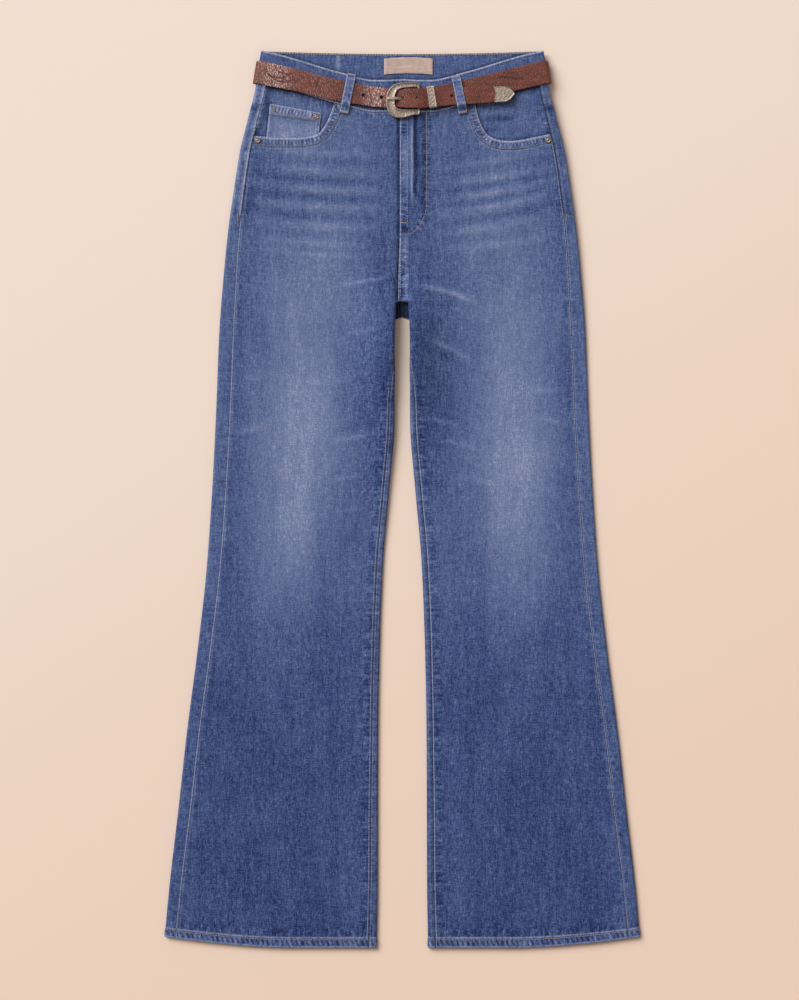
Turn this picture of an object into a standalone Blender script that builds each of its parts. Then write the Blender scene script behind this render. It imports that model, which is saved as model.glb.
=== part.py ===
"""Wide leg jeans with their leather belt, laid flat on their back with the front up.

Sizes are in millimetres and become metres when a mesh is made. x runs across the garment towards the
wearer's left, h is the height above the hem, and z is up from the surface it lies on. Tables along h
describe a flattened tube of cloth whose back lies on the surface. The panels are patches of that tube,
and what lies on a panel is the same tube moved out or in.
"""

import math

import bmesh
import bpy
import numpy as np

# ---- driving sizes ---------------------------------------------------------------------------------

DENIM = 1.2  # wall of one layer of denim
BAND_WALL = 2.0  # wall of the doubled waistband
BAND_HEIGHT = 40.0
BAND_PROUD = 0.4  # how far the waistband stands out from the panels
GAP = 0.3  # between two pieces that touch or are sewn together
LOOP_WALL = 1.6
LOOP_WIDTH = 11.0
THIN_WALL = 1.0  # label and coin pocket

CROTCH_FRONT = 800.0  # the front's centre seam ends here
CROTCH_BACK = 781.0  # the back's centre seam ends here, a little lower
GROOVE_TOP = 880.0  # the centre seam lies in a groove up to here
GROOVE_DROP = 2.9
GROOVE_HALF = 8.0
HEM_RISE = 14.0  # how much higher the hem is at the outer corner
HEM_FADE = 250.0
HEM_LEVEL = 0.4  # the hem is level over this share of the way across, then it rises
HEM_POWER = 1.7
YOKE_CENTRE = 1000.0  # the yoke's seam at the centre back
YOKE_SIDE = 1048.0  # and at the side
YOKE_POWER = 1.2
BACK_TOP_CENTRE = 1108.5  # the waistband's top edge at the centre back
TOP_SIDE = 1112.0  # and at the side folds, the highest point
TOP_HALF = 175.0  # from the middle to where the side folds start, at the top edge

OUTLINE = (  # height, half width from the middle to the side fold
    (0, 296), (72, 289.5), (171, 278), (270, 267), (370, 254), (469, 243), (568, 236), (667, 231),
    (766, 227), (841, 221), (890, 216), (940, 209), (990, 201), (1014, 195), (1039, 188.5),
    (1061, 183), (1094, 178), (1112, 174.5),
)
LEG_GAP = (  # height, half of the gap between the legs
    (0, 32), (84, 30.5), (184, 30.4), (283, 29.8), (382, 27.8), (481, 23.6), (568, 16), (655, 9.5),
    (729, 9.3), (754, 9.2), (800, 7.4),
)
LIFT = (  # height, the back's outer face above the surface: back pockets, then the belt, lie under it
    (0, 0), (720, 0), (846, 1.6), (984, 3.2), (1060, 5.6), (1112, 5.6),
)
DEPTH = ((0, 5.6), (780, 5.6), (900, 6.0), (1000, 6.2), (1112, 6.2))  # height, outer face to outer face
SIDE_SEAM = (  # height, the side seam's distance in from the side fold, on the front
    (0, 13.5), (270, 14.5), (500, 16), (750, 17), (900, 13.6), (1039, 12.5), (1112, 12.5),
)
INSEAM = (  # height, how far the back panel runs round the inner fold towards the front
    (0, 16), (480, 13), (717, 8.6), (778, 0.3), (800, 1.2),
)
CROTCH_EASE = (3.6, 650.0, 775.0)  # the inseam's gap widens by this much between these heights
FRONT_TOP = (  # distance from the middle, height of the waistband's top edge in front
    (0, 1077), (20, 1075.8), (37, 1075.8), (53, 1078.6), (69, 1083.2), (90, 1088.8), (107, 1094),
    (133, 1102), (156, 1108.2), (175, 1112),
)
LEG_ROWS = (  # heights of the panels' rows, up to where they start to follow the seam above them
    0, 14, 60, 115, 175, 235, 295, 355, 415, 475, 535, 600, 655, 700, 740, 778, 784, 796, 804, 824,
    842, 870, 900, 925, 945,
)
UPPER_STEPS = {"front": 5, "back": 4, "yoke": 3}
SCOOP = {  # x and h of the pocket mouth's edge, from the side seam inwards and up
    "right": (
        (187, 1007), (181, 1006.3), (153, 1004.2), (128, 1004.2), (113, 1006.3), (103, 1010.2),
        (96.6, 1018.3), (91.3, 1028), (87.2, 1039), (84, 1050),
    ),
    "left": (
        (188, 1009.2), (181, 1008.2), (167, 1005.6), (151, 1002.3), (135, 1000.4), (123.5, 1000.8),
        (111.5, 1004.4), (103.8, 1010), (96.6, 1023.5), (91.9, 1039), (90, 1050),
    ),
}
MOUTH_PAST = (230.0, 1100.0)  # x and h past the front's upper corner, where the mouth's cut ends
CUT_TOP = 30.0  # above everything
FACING_DROP = {"right": 2.8, "left": 1.5}  # below the front's outer face; the coin pocket needs room
FACING_LOW = 940.0
FACING_ROWS = (0, 0.2, 0.38, 0.5, 0.6, 0.7, 0.8, 0.9, 1)  # shares of the way up to the waist seam
FACING_RISE = (9.0, 5.5, 2.0, 0.0)  # it comes up level over these distances before the side seam
FACING_SHOWN = (1010.0, 1022.0)  # from hidden at the first height to risen at the second
COIN_CORNERS = ((-171.4, 982), (-105.6, 986), (-164, 1046.6), (-99.6, 1034.7))  # low pair, top pair
COIN_DROP = 1.5
FLY_EDGE = -2.2  # x of the waistband's left end, which laps over the right one
FLY_WIDTH = 34.0
FLY_LOW = 882.0
FLY_RAISE = 0.4
FLY_SOFT = (8.0, 15.0)  # it rises over these distances across and up
UNDERLAP = 22.0  # how far the waistband's right end runs on under the left one
UNDERLAP_DIP = ((-9.7, 0.5), (-4.4, 1), (8, 1), (UNDERLAP, 1))  # x, and share of the drop to the lower layer
BAND_SECOND = 8.0  # x of the waistband's second column
BAND_BACK = (156, 120, 80, 40, 0, -40, -80, -120, -156)
ZIP = {"inner": 2.0, "outer": 27.0, "low": 892.0, "high": 1019.0}
SLIDER = {
    "x": 14.5, "h": 1026.0, "half_width": 4.5, "half_length": 5.0, "narrow": 0.7, "wall": 2.0, "gap": 0.2,
}
BACK_POCKET = {"middle": 88.0, "half": 70.0, "top": 984.0, "corner": 862.0, "tip": 846.0, "narrow": 0.07}
LABEL = {"left": -22.7, "right": 38.0, "low": 1082.3, "high": 1102.4, "arch": 1.8}

BAR = (20.1, 1052.1, 15.6)  # middle of the buckle's hinge bar
STRAP_BEND = 2.35  # radius to the middle of the strap's wall round the bar
FOLD_END = 6.4  # how far the folded end of the strap reaches back past the bar
FOLD_WALL = 1.5  # it is pared to this wall
PRONG_BEND = 2.3
PRONG_TURNS = (215, 450)  # it is bent round the bar between these angles
PRONG_SIZE = (3.2, 1.4)  # width and thickness
BELT_REACH = 5.3  # from the middle of the side fold to the middle of the belt's wall
BELT_SIDE = 1085.0  # its height at the side folds
BELT_BACK = 1086.0
BELT_BACK_X = (155, 110, 60, 0, -60, -110, -155)
BELT_BACK_LEAN = 3.0  # at the first of them
BELT_BACK_WIDTH = 28.0
BELT_WIDEST = 28.4
BELT_WALL = 3.0
SIDE_LEAN = 9.3  # the side edge's slant, in degrees
BUCKLE_END = (  # x, h, z, lean in degrees, width, thickness: from the bar to the wearer's left side
    (26.5, 1052.5, 16.4, 4, 24.4, 2.0), (31, 1053.1, 15.0, 8, 24.6, 2.6), (42, 1054.9, 15.0, 11, 24.8, 2.6),
    (52, 1056.4, 14.0, 12.5, 26.4, 3.0), (75.3, 1060.9, 14.0, 13.2, 27.2, 3.0),
    (99, 1066.3, 14.0, 13.4, 27.5, 3.0), (123.6, 1072.2, 14.0, 13.4, 27.8, 3.0),
    (148, 1078.3, 14.0, 12.5, 28.2, 3.0), (166, 1082.6, 14.0, 10.5, 28.4, 3.0),
)
TIP_END = (  # the same columns: from the wearer's right side through the buckle to the tip
    (-166, 1082.4, 14.0, -10, 28.4, 3.0), (-150.4, 1079.4, 14.0, -11.5, 28, 3.0),
    (-126.9, 1074.1, 14.0, -13.5, 27.2, 3.0), (-102, 1067.6, 14.0, -14, 26.6, 3.0),
    (-71, 1060.5, 14.0, -11.5, 26.1, 3.0), (-54.9, 1057.9, 14.0, -9, 25.6, 3.0),
    (-42.5, 1055.7, 14.0, -7.5, 25.0, 3.0), (-21.5, 1053.1, 14.0, -5, 24.5, 3.0),
    (-12, 1052.5, 13.9, -2, 24.0, 3.0), (-8, 1052.0, 14.0, -2, 22.0, 3.0), (-5, 1051.8, 15.1, -1, 20.6, 3.0),
    (-2, 1051.8, 17.0, 0, 21.6, 3.0), (2, 1052.0, 18.9, 0, 23.0, 3.0), (6, 1052.1, 20.0, 0, 24.0, 3.0),
    (10, 1052.1, 20.4, 0, 24.0, 3.0), (14, 1052.1, 20.5, 0, 24.0, 3.0),
    (20, 1052.2, 20.6, 1, 24.2, 3.0), (25, 1052.6, 19.9, 2.5, 24.4, 3.0), (31, 1053.2, 18.2, 3, 24.4, 3.0),
    (42, 1054.1, 18.1, 3, 24.2, 3.0), (52, 1054.8, 17.3, 2.5, 23.6, 3.0), (66, 1055.3, 17.3, 2, 22.6, 3.0),
    (82, 1055.8, 17.3, 2, 21.6, 3.0), (97, 1056.4, 17.4, 2, 20.6, 2.8), (108, 1056.9, 17.8, 2, 19.9, 2.3),
    (112, 1057, 17.8, 2, 19.6, 2.2), (112.6, 1057, 17.8, 2, 17.4, 2.2), (124, 1057.4, 17.8, 2, 17.4, 2.2),
)
HOLES = (  # x, h of the punched holes, and z where their cut starts, above any strap below
    (-48.2, 1056.6, 12.0), (-25.8, 1053.8, 12.0), (18.2, 1052.1, 18.85), (61.1, 1055.1, 15.65),
)
HOLE_RADIUS = 2.1
STRAP_TOP = 22.5  # above every strap
PRONG_SLOTS = ((15, 27, 12.0, 18.85), (-6.2, 1.6, 12.3, 21.5))  # x from and to, z from and to
SLOT_HALF = 2.2
FRAME = (  # x, h, z, width, thickness of the buckle's frame: the bar's two ends, then round the rim
    (20.1, 1038.6, 15.6, 2.5, 2.5), (20.1, 1065.8, 15.6, 2.5, 2.5), (19.8, 1068.9, 15.9, 6.6, 3.0),
    (15.5, 1069.1, 16.3, 6.2, 3.4), (8.5, 1068.9, 16.7, 6.4, 3.6), (0, 1068.3, 17.2, 6.7, 3.6),
    (-7, 1066.4, 17.6, 7.8, 3.7), (-12, 1061.2, 17.8, 9.6, 3.8), (-14.6, 1054.0, 17.8, 10.8, 3.8),
    (-14.6, 1046.0, 17.8, 11.0, 3.8), (-12.6, 1038.8, 17.8, 11.4, 3.8), (-7, 1034.2, 17.7, 11.4, 3.8),
    (0, 1033.4, 17.2, 10.4, 3.6), (8.5, 1034.6, 16.7, 8.2, 3.6), (15.5, 1035.4, 16.3, 6.6, 3.4),
    (19.8, 1035.4, 15.9, 6.8, 3.0),
)
TONGUE = (  # x and z of the prong's middle, from the bar to its end on the frame's rim
    (14.5, 17.2), (9.5, 16.1), (5.5, 15.8), (1.5, 16.2), (-2.5, 18.2), (-6.5, 20.2), (-10, 20.9),
    (-16, 20.9), (-18.6, 20.6),
)
KEEPER = {"x": 36.4, "h": 1053.9, "width": 9.0, "inside": 25.6, "low": 12.5, "high": 21.0, "wall": 0.9,
          "corner": 1.4}
KEEPER_LEAN = 9.0
TIP_OUTLINE = (
    (112.5, 1066.8), (127, 1067.2), (133.5, 1065), (139.7, 1058.4), (134.5, 1051.5), (128.5, 1048.1),
    (113.6, 1047.2), (115.4, 1057.6),
)
TIP_Z = (15.8, 19.8)
TIP_POCKET = ((100, 1047.3), (124.4, 1048.2), (124.4, 1066.5), (100, 1065.6))  # the strap's end fits in
TIP_POCKET_Z = (16.4, 19.2)
LOOPS = {  # face, top end, low end, z of the ends' inner face and over the belt, and where the crest runs
    "belt_loop_front_right": (1, (-62.4, 1083.2), (-72.3, 1034.2), 12.5, 15.8, (9.5, 38.5)),
    "belt_loop_front_left": (1, (66.0, 1080.6), (75.3, 1034.2), 12.5, 19.2, (6.6, 37.5)),
    "belt_loop_back_right": (-1, (-105, 1108.0), (-105, 1062.0), 4.9, 1.6, (6.5, 37.2)),
    "belt_loop_back_centre": (-1, (7.5, 1108.0), (7.5, 1062.0), 4.9, 1.6, (6.5, 37.2)),
    "belt_loop_back_left": (-1, (105, 1108.0), (105, 1062.0), 4.9, 1.6, (6.5, 37.2)),
}
LOOP_RAMP = 4.5
BUTTON = {"x": 10.5, "h": 1056.0, "radius": 6.4, "low": 12.5, "height": 1.8}
RIVETS = {
    "rivet_side_right": (-179.6, 1001.2), "rivet_side_left": (180.6, 1001.4), "rivet_coin": (-106.8, 1030.6),
}
RIVET = {"radius": 3.5, "height": 1.2}

CAP_RINGS = ((1, 0), (1, 0.45), (0.86, 0.85), (0.6, 1))  # shares of a cap's radius and height
STRAP_CORNERS = (0.05, 0.4)  # cut corners, in halves of the width and thickness
FRAME_CORNERS = (0.3, 0.55)
PRONG_CORNERS = (0.3, 0.5)

COLOURS = {  # name: linear-light base colour, roughness, metallic
    "denim": ((0.112, 0.144, 0.271), 0.85, 0.0),
    "zip_tape": ((0.033, 0.047, 0.107), 0.8, 0.0),
    "label_cotton": ((0.658, 0.491, 0.429), 0.8, 0.0),
    "belt_leather": ((0.153, 0.058, 0.044), 0.45, 0.0),
    "antique_metal": ((0.434, 0.342, 0.287), 0.35, 1.0),
    "rivet_metal": ((0.216, 0.127, 0.089), 0.4, 1.0),
}

MIDDLE = TOP_SIDE / 2  # the origin lies under the middle of the whole
MM = 0.001
FOLD_COLUMNS = 5
FRONT_COLUMNS = (6, 6)  # over the inner fold, then across to the side seam
FRONT_SHARES = (0.11, 0.22, 0.33, 0.53, 0.76, 1.0)  # how the columns across are spread
BACK_COLUMNS = (1, FOLD_COLUMNS, 5, 7)  # side seam, side fold, underside, inner fold
FOLD_REACH = 15.0  # the inner fold's columns start this far before it
FIT_OVER = 3.0  # the inner edge passes from evenly spaced columns to fitted ones over this distance
WRAP_FIT = (0.95, 0.3)  # the same for the back: from this share of the fold, over this share
EDGE_STEP = 0.6  # a panel's second column lies this far from its seam, so both edges are square to it


# ---- tables and curves -----------------------------------------------------------------------------

def smooth(rows, at):
    """A table's second column at values of its first, on a curve that never overshoots its rows."""
    xs, ys = np.array(rows, float).T
    step = np.diff(xs)
    rise = np.diff(ys) / step
    slope = np.concatenate(([rise[0]], np.zeros(len(xs) - 2), [rise[-1]]))
    same = rise[:-1] * rise[1:] > 0
    slope[1:-1][same] = 2 * rise[:-1][same] * rise[1:][same] / (rise[:-1][same] + rise[1:][same])
    at = np.clip(np.asarray(at, float), xs[0], xs[-1])
    i = np.clip(np.searchsorted(xs, at) - 1, 0, len(step) - 1)
    t = (at - xs[i]) / step[i]
    ends = (1 + 2 * t) * (1 - t) ** 2 * ys[i] + t * t * (3 - 2 * t) * ys[i + 1]
    return ends + step[i] * (t * (1 - t) ** 2 * slope[i] - t * t * (1 - t) * slope[i + 1])


def ease(t):
    """0 below 0, 1 above 1, and a smooth step between."""
    t = np.clip(t, 0, 1)
    return t * t * (3 - 2 * t)


# ---- the tube of cloth -----------------------------------------------------------------------------

def half_width(h):
    return smooth(OUTLINE, h)


def lift(h):
    return smooth(LIFT, h)


def depth(h):
    return smooth(DEPTH, h)


def side_seam(h):
    return half_width(h) - smooth(SIDE_SEAM, h)


def front_face(x, h):
    """z of the cloth's upper face, with the groove of the centre seam above the crotch."""
    groove = GROOVE_DROP * (1 - ease((h - CROTCH_FRONT) / (GROOVE_TOP - CROTCH_FRONT)))
    return lift(h) + depth(h) - groove * np.exp(-((x / GROOVE_HALF) ** 2)) * (h > CROTCH_FRONT)


def side_fold(turn, h, out=0.0):
    """x and z on the side fold; turn runs from 0 on the front to pi on the back."""
    radius = depth(h) / 2
    x = half_width(h) - radius + (radius + out) * np.sin(turn)
    return x, lift(h) + radius + (radius + out) * np.cos(turn)


def inner_path(run, h):
    """x and z at a distance along the back of a leg, over its inner fold and on to the front.

    run is 0 where the fold leaves the surface, and less on the back.
    """
    radius = depth(h) / 2
    turn = np.clip(run / radius, 0, math.pi)
    flat = np.maximum(-run, 0) + np.maximum(run - math.pi * radius, 0)
    x = smooth(LEG_GAP, h) + radius * (1 - np.sin(turn)) + flat
    return x, lift(h) + radius * (1 - np.cos(turn))


def inner_start(h, joined):
    """x where the columns over the inner fold start, on the front or the back."""
    return FOLD_REACH + (0 * h if joined else smooth(LEG_GAP, h) + depth(h) / 2)


def front_section(h, base):
    """x and z of the front's columns, from its inner edge to the side seam; h has one value for each."""
    joined = base > CROTCH_FRONT
    inner, outer = h[: FRONT_COLUMNS[0]], h[FRONT_COLUMNS[0]:]
    around = math.pi * depth(inner) / 2
    wider, low, high = CROTCH_EASE
    before = around - smooth(INSEAM, inner) - wider * ease((inner - low) / (high - low))
    edge = (0 * inner if joined else before) - GAP / 2
    share = np.linspace(0, 1, len(inner) - 1)
    even = edge[1:] - EDGE_STEP - (edge[1:] - EDGE_STEP + FOLD_REACH) * share
    on_fold = np.maximum(edge[1:] - EDGE_STEP, 0)
    fitted = on_fold * np.append(np.linspace(1, 0, len(inner) - 2), 0) - FOLD_REACH * (share == 1)
    run = np.append(edge[:1], even + (fitted - even) * ease(edge[1:] / FIT_OVER))
    if joined:
        x_in, z_in = -run, front_face(-run, inner)
    else:
        x_in, z_in = inner_path(around - run, inner)
    start = inner_start(outer, joined)
    x_out = start + (side_seam(outer) - GAP / 2 - start) * np.array(FRONT_SHARES)
    return np.append(x_in, x_out), np.append(z_in, front_face(x_out, outer))


def back_section(h, base):
    """x and z of the back's columns, from the side seam round the side fold and under to the inner edge."""
    joined = base > CROTCH_BACK
    seam, fold, flat, inner = np.split(h, np.cumsum(BACK_COLUMNS)[:-1])
    x_fold, z_fold = side_fold(np.linspace(0, math.pi, len(fold)), fold)
    start = half_width(flat) - depth(flat) / 2
    end = inner_start(flat, joined)
    x_flat = start + (end - start) * np.arange(1, len(flat) + 1) / len(flat)
    steps = np.arange(1, len(inner) + 1) / len(inner)
    if joined:
        x_in, z_in = FOLD_REACH + (GAP / 2 - FOLD_REACH) * steps, lift(inner)
    else:
        around = math.pi * depth(inner) / 2
        edge = smooth(INSEAM, inner) - GAP / 2
        last = edge[:-1] - EDGE_STEP
        even = -FOLD_REACH + (last + FOLD_REACH) * np.arange(1, len(inner)) / (len(inner) - 1)
        on_fold = np.minimum(last, around[:-1])[:-1]
        fitted = np.append(np.linspace(0, 1, len(on_fold)) * on_fold, last[-1])
        wrapped = ease((edge[:-1] / around[:-1] - WRAP_FIT[0]) / WRAP_FIT[1])
        x_in, z_in = inner_path(np.append(even + (fitted - even) * wrapped, edge[-1]), inner)
    x = np.concatenate((side_seam(seam) + GAP / 2, x_fold, x_flat, x_in))
    return x, np.concatenate((lift(seam) + depth(seam), z_fold, lift(flat), z_in))


def row(section, columns, base, height):
    """One row of points (x, h, z) of a panel; height gives each column's h from its x."""
    h = np.full(columns, float(base))
    for _ in range(4):
        x, z = section(h, base)
        h = height(x)
    return np.stack((x, h, z), axis=1)


def leg_height(base):
    """A leg row's height: near the hem it follows the hem's curve, higher at the outer corner."""
    fade = max(0.0, 1 - base / HEM_FADE) ** 2

    def height(x):
        inner = smooth(LEG_GAP, base)
        across = (x - inner) / (half_width(base) - inner)
        return base + HEM_RISE * fade * np.clip((across - HEM_LEVEL) / (1 - HEM_LEVEL), 0, 1) ** HEM_POWER
    return height


def front_top(x):
    return smooth(FRONT_TOP, np.abs(x))


def back_top(x):
    return BACK_TOP_CENTRE + (TOP_SIDE - BACK_TOP_CENTRE) * np.minimum(np.abs(x) / TOP_HALF, 1) ** 2


def front_seam(x):
    """Height of the front's upper edge, under the waistband."""
    return front_top(x) - BAND_HEIGHT - GAP


def yoke_low(x):
    """Height of the seam between the back and its yoke, lowest at the centre back."""
    return YOKE_CENTRE + (YOKE_SIDE - YOKE_CENTRE) * np.clip(x / half_width(YOKE_SIDE), 0, 1) ** YOKE_POWER


def yoke_high(x):
    """Height of the yoke's upper edge; its columns on the front follow the waistband's front."""
    wrap = np.arange(len(x)) < sum(BACK_COLUMNS[:2])
    top = np.where(wrap, np.minimum(front_top(x), back_top(x)), back_top(x))
    return top - BAND_HEIGHT - GAP


# ---- making meshes ---------------------------------------------------------------------------------

def clear_scene():
    for item in list(bpy.data.objects):
        bpy.data.objects.remove(item)


def material(name):
    if name in bpy.data.materials:
        return bpy.data.materials[name]
    made = bpy.data.materials.new(name)
    made.use_nodes = True
    colour, roughness, metallic = COLOURS[name]
    shader = made.node_tree.nodes["Principled BSDF"]
    shader.inputs["Base Color"].default_value = (*colour, 1)
    shader.inputs["Roughness"].default_value = roughness
    shader.inputs["Metallic"].default_value = metallic
    made.diffuse_color = (*colour, 1)
    return made


def add(name, points, faces, finish=None, crease=40):
    """An object from points (x, h, z) in millimetres and faces, with its faces turned outwards."""
    points = np.asarray(points, float).reshape(-1, 3)
    mesh = bpy.data.meshes.new(name)
    mesh.from_pydata(((points - (0, MIDDLE, 0)) * MM).tolist(), [], faces)
    mesh.validate()
    made = bpy.data.objects.new(name, mesh)
    bpy.context.scene.collection.objects.link(made)
    if finish:
        mesh.materials.append(material(finish))
        mesh.shade_smooth()
        mesh.set_sharp_from_angle(angle=math.radians(crease))
    return made


def outwards(made):
    """Turns a closed mesh's faces outwards."""
    work = bmesh.new()
    work.from_mesh(made.data)
    bmesh.ops.recalc_face_normals(work, faces=work.faces)
    work.to_mesh(made.data)
    work.free()
    return made


def grid_faces(rows, columns, close_rows=False, close_columns=False):
    """Quads over a grid of points; a closed direction joins its last line of points to the first."""
    i = np.arange(rows if close_rows else rows - 1)[:, None]
    j = np.arange(columns if close_columns else columns - 1)[None]
    right, up = (j + 1) % columns, (i + 1) % rows
    quads = (i * columns + j, i * columns + right, up * columns + right, up * columns + j)
    return np.stack(np.broadcast_arrays(*quads), axis=-1).reshape(-1, 4).tolist()


def cloth(name, points, wall, finish="denim", outer=True):
    """A wall over a grid of points (row, column, xhz), which are on its outer or its inner face."""
    made = add(name, points, grid_faces(*points.shape[:2]), finish)
    thick = made.modifiers.new("wall", "SOLIDIFY")
    thick.thickness = wall * MM
    thick.offset = -1 if outer else 1
    thick.use_even_offset = True
    return made


def on_side(points, side):
    """The wearer's left is +x; the right is its mirror image, with the columns in mirrored order."""
    return points if side == "left" else points[:, ::-1] * (-1, 1, 1)


def prism(name, outline, low, high, finish=None):
    """An outline (x, h) carried up from low to high."""
    count = len(outline)
    points = [(x, h, z) for z in (low, high) for x, h in outline]
    sides = grid_faces(2, count, close_columns=True)
    return outwards(add(name, points, [*sides, tuple(range(count)), tuple(range(count, 2 * count))], finish))


def disc(name, middle, low, radius, height, finish, sides=20):
    """A round cap with a rounded shoulder."""
    turn = np.arange(sides) * 2 * math.pi / sides
    points = [
        (middle[0] + radius * r * math.cos(a), middle[1] + radius * r * math.sin(a), low + height * z)
        for r, z in CAP_RINGS for a in turn
    ]
    last = (len(CAP_RINGS) - 1) * sides
    faces = grid_faces(len(CAP_RINGS), sides, close_columns=True)
    faces += [tuple(range(sides)), tuple(range(last, last + sides))]
    return outwards(add(name, points, faces, finish))


def sweep(name, path, shape, finish, closed=False):
    """A section carried along a path of rows (x, h, z, lean, width, thickness).

    The section's first direction is across the path, upright and leaning by lean degrees; its second is
    square to that and to the path. shape is the section's outline, in halves of the width and thickness.
    """
    path = np.array(path, float)
    spot, lean, size = path[:, :3], np.radians(path[:, 3]), path[:, 4:6]
    if closed:
        along = np.roll(spot, -1, axis=0) - np.roll(spot, 1, axis=0)
        across = np.cross((0.0, 0.0, 1.0), along)
        across /= np.linalg.norm(across, axis=1)[:, None]
    else:
        along = np.gradient(spot, axis=0)
        across = np.stack((-np.sin(lean), np.cos(lean), 0 * lean), axis=1)
    square = np.cross(along, across)
    square /= np.linalg.norm(square, axis=1)[:, None]
    shape = np.array(shape)[None] * size[:, None] / 2
    points = spot[:, None] + shape[..., :1] * across[:, None] + shape[..., 1:] * square[:, None]
    rows, columns = points.shape[:2]
    faces = grid_faces(rows, columns, close_rows=closed, close_columns=True)
    if not closed:
        faces += [tuple(range(columns)), tuple(range((rows - 1) * columns, rows * columns))]
    return outwards(add(name, points, faces, finish))


def cut(made, cutter):
    """Takes a cutter's shape out of a piece."""
    cutter.hide_render = True
    cutter.display_type = "WIRE"
    change = made.modifiers.new(cutter.name, "BOOLEAN")
    change.operation = "DIFFERENCE"
    change.solver = "EXACT"
    change.object = cutter


# ---- panels ----------------------------------------------------------------------------------------

def front_grid():
    """A front leg's points, from the inseam and centre seam to the side seam, up to the waistband."""
    columns = sum(FRONT_COLUMNS)
    rows = [row(front_section, columns, base, leg_height(base)) for base in LEG_ROWS]
    last = LEG_ROWS[-1]
    for step in range(1, UPPER_STEPS["front"] + 1):
        share = step / UPPER_STEPS["front"]
        base = last + share * (front_seam(0) - last)
        rows.append(row(front_section, columns, base, lambda x: last + share * (front_seam(x) - last)))
    return np.array(rows)


def front(side):
    """A front leg, with its pocket mouth cut out; the left one stands up a little along the fly."""
    points = front_grid()
    if side == "left":
        x, h = points[..., 0], points[..., 1]
        points[..., 2] += FLY_RAISE * ease((FLY_WIDTH - x) / FLY_SOFT[0]) * ease((h - FLY_LOW) / FLY_SOFT[1])
    made = cloth("front_" + side, on_side(points, side), DENIM)
    past_x, past_h = MOUTH_PAST
    mouth = [*SCOOP[side], (SCOOP[side][-1][0], past_h), (past_x, past_h), (past_x, SCOOP[side][0][1])]
    sign = 1 if side == "left" else -1
    cut(made, prism("mouth_" + side, [(sign * x, h) for x, h in mouth], 0, CUT_TOP))


def back(side):
    """A back leg, from the side seam round both folds to the inseam and the centre seam."""
    columns = sum(BACK_COLUMNS)
    rows = [row(back_section, columns, base, leg_height(base)) for base in LEG_ROWS]
    last = LEG_ROWS[-1]
    for step in range(1, UPPER_STEPS["back"] + 1):
        share = step / UPPER_STEPS["back"]
        base = last + share * (YOKE_CENTRE - last)
        rows.append(row(back_section, columns, base, lambda x: last + share * (yoke_low(x) - GAP / 2 - last)))
    cloth("back_" + side, on_side(np.array(rows), side), DENIM)


def yoke(side):
    """The yoke between a back and the waistband, which shows where it comes round the side fold."""
    columns = sum(BACK_COLUMNS)
    rows = []
    for share in np.linspace(0, 1, UPPER_STEPS["yoke"] + 1):
        base = YOKE_CENTRE + share * (BACK_TOP_CENTRE - BAND_HEIGHT - YOKE_CENTRE)

        def height(x):
            low = yoke_low(x) + GAP / 2
            return low + share * (yoke_high(x) - low)
        rows.append(row(back_section, columns, base, height))
    cloth("yoke_" + side, on_side(np.array(rows), side), DENIM)


def facing(side):
    """The denim seen in a pocket mouth: it lies under the front and comes up level at the side seam."""
    top = front_grid()[-1]
    steps = len(FACING_RISE)
    rows = []
    for share in FACING_ROWS:
        x = np.append(top[-4:-1, 0], top[-1, 0] - np.array(FACING_RISE))
        for _ in range(2):
            h = FACING_LOW + share * (np.interp(x, top[:, 0], top[:, 1]) - FACING_LOW)
            end = side_seam(h) - GAP / 2
            x[-steps:] = end[-steps:] - FACING_RISE
        hidden, shown = FACING_SHOWN
        risen = ease((x - end + FACING_RISE[0]) / (FACING_RISE[0] - FACING_RISE[2]))
        risen *= ease((h - hidden) / (shown - hidden))
        rows.append(np.stack((x, h, front_face(x, h) - FACING_DROP[side] * (1 - risen)), axis=1))
    cloth("pocket_facing_" + side, on_side(np.array(rows), side), DENIM)


def coin_pocket():
    """A small pocket on the right facing, its low edge hidden under the front."""
    low_outer, low_inner, top_outer, top_inner = np.array(COIN_CORNERS, float)
    up = np.linspace(0, 1, 5)[:, None, None]
    across = np.linspace(0, 1, 5)[None, :, None]
    low = low_outer + (low_inner - low_outer) * across
    top = top_outer + (top_inner - top_outer) * across
    spot = low + (top - low) * up
    z = front_face(spot[..., 0], spot[..., 1]) - COIN_DROP
    cloth("coin_pocket", np.dstack((spot, z)), THIN_WALL)


def back_pocket(side):
    """A patch pocket under the back, with a pointed lower edge."""
    across = np.linspace(1, -1, 5)
    low = BACK_POCKET["corner"] - (BACK_POCKET["corner"] - BACK_POCKET["tip"]) * (1 - np.abs(across))
    rows = []
    for share in np.linspace(0, 1, 6):
        h = low + (BACK_POCKET["top"] - low) * share
        x = BACK_POCKET["middle"] + BACK_POCKET["half"] * across * (1 - BACK_POCKET["narrow"] * (1 - share))
        rows.append(np.stack((x, h, lift(h) - GAP - DENIM), axis=1))
    cloth("back_pocket_" + side, on_side(np.array(rows), side), DENIM)


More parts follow.
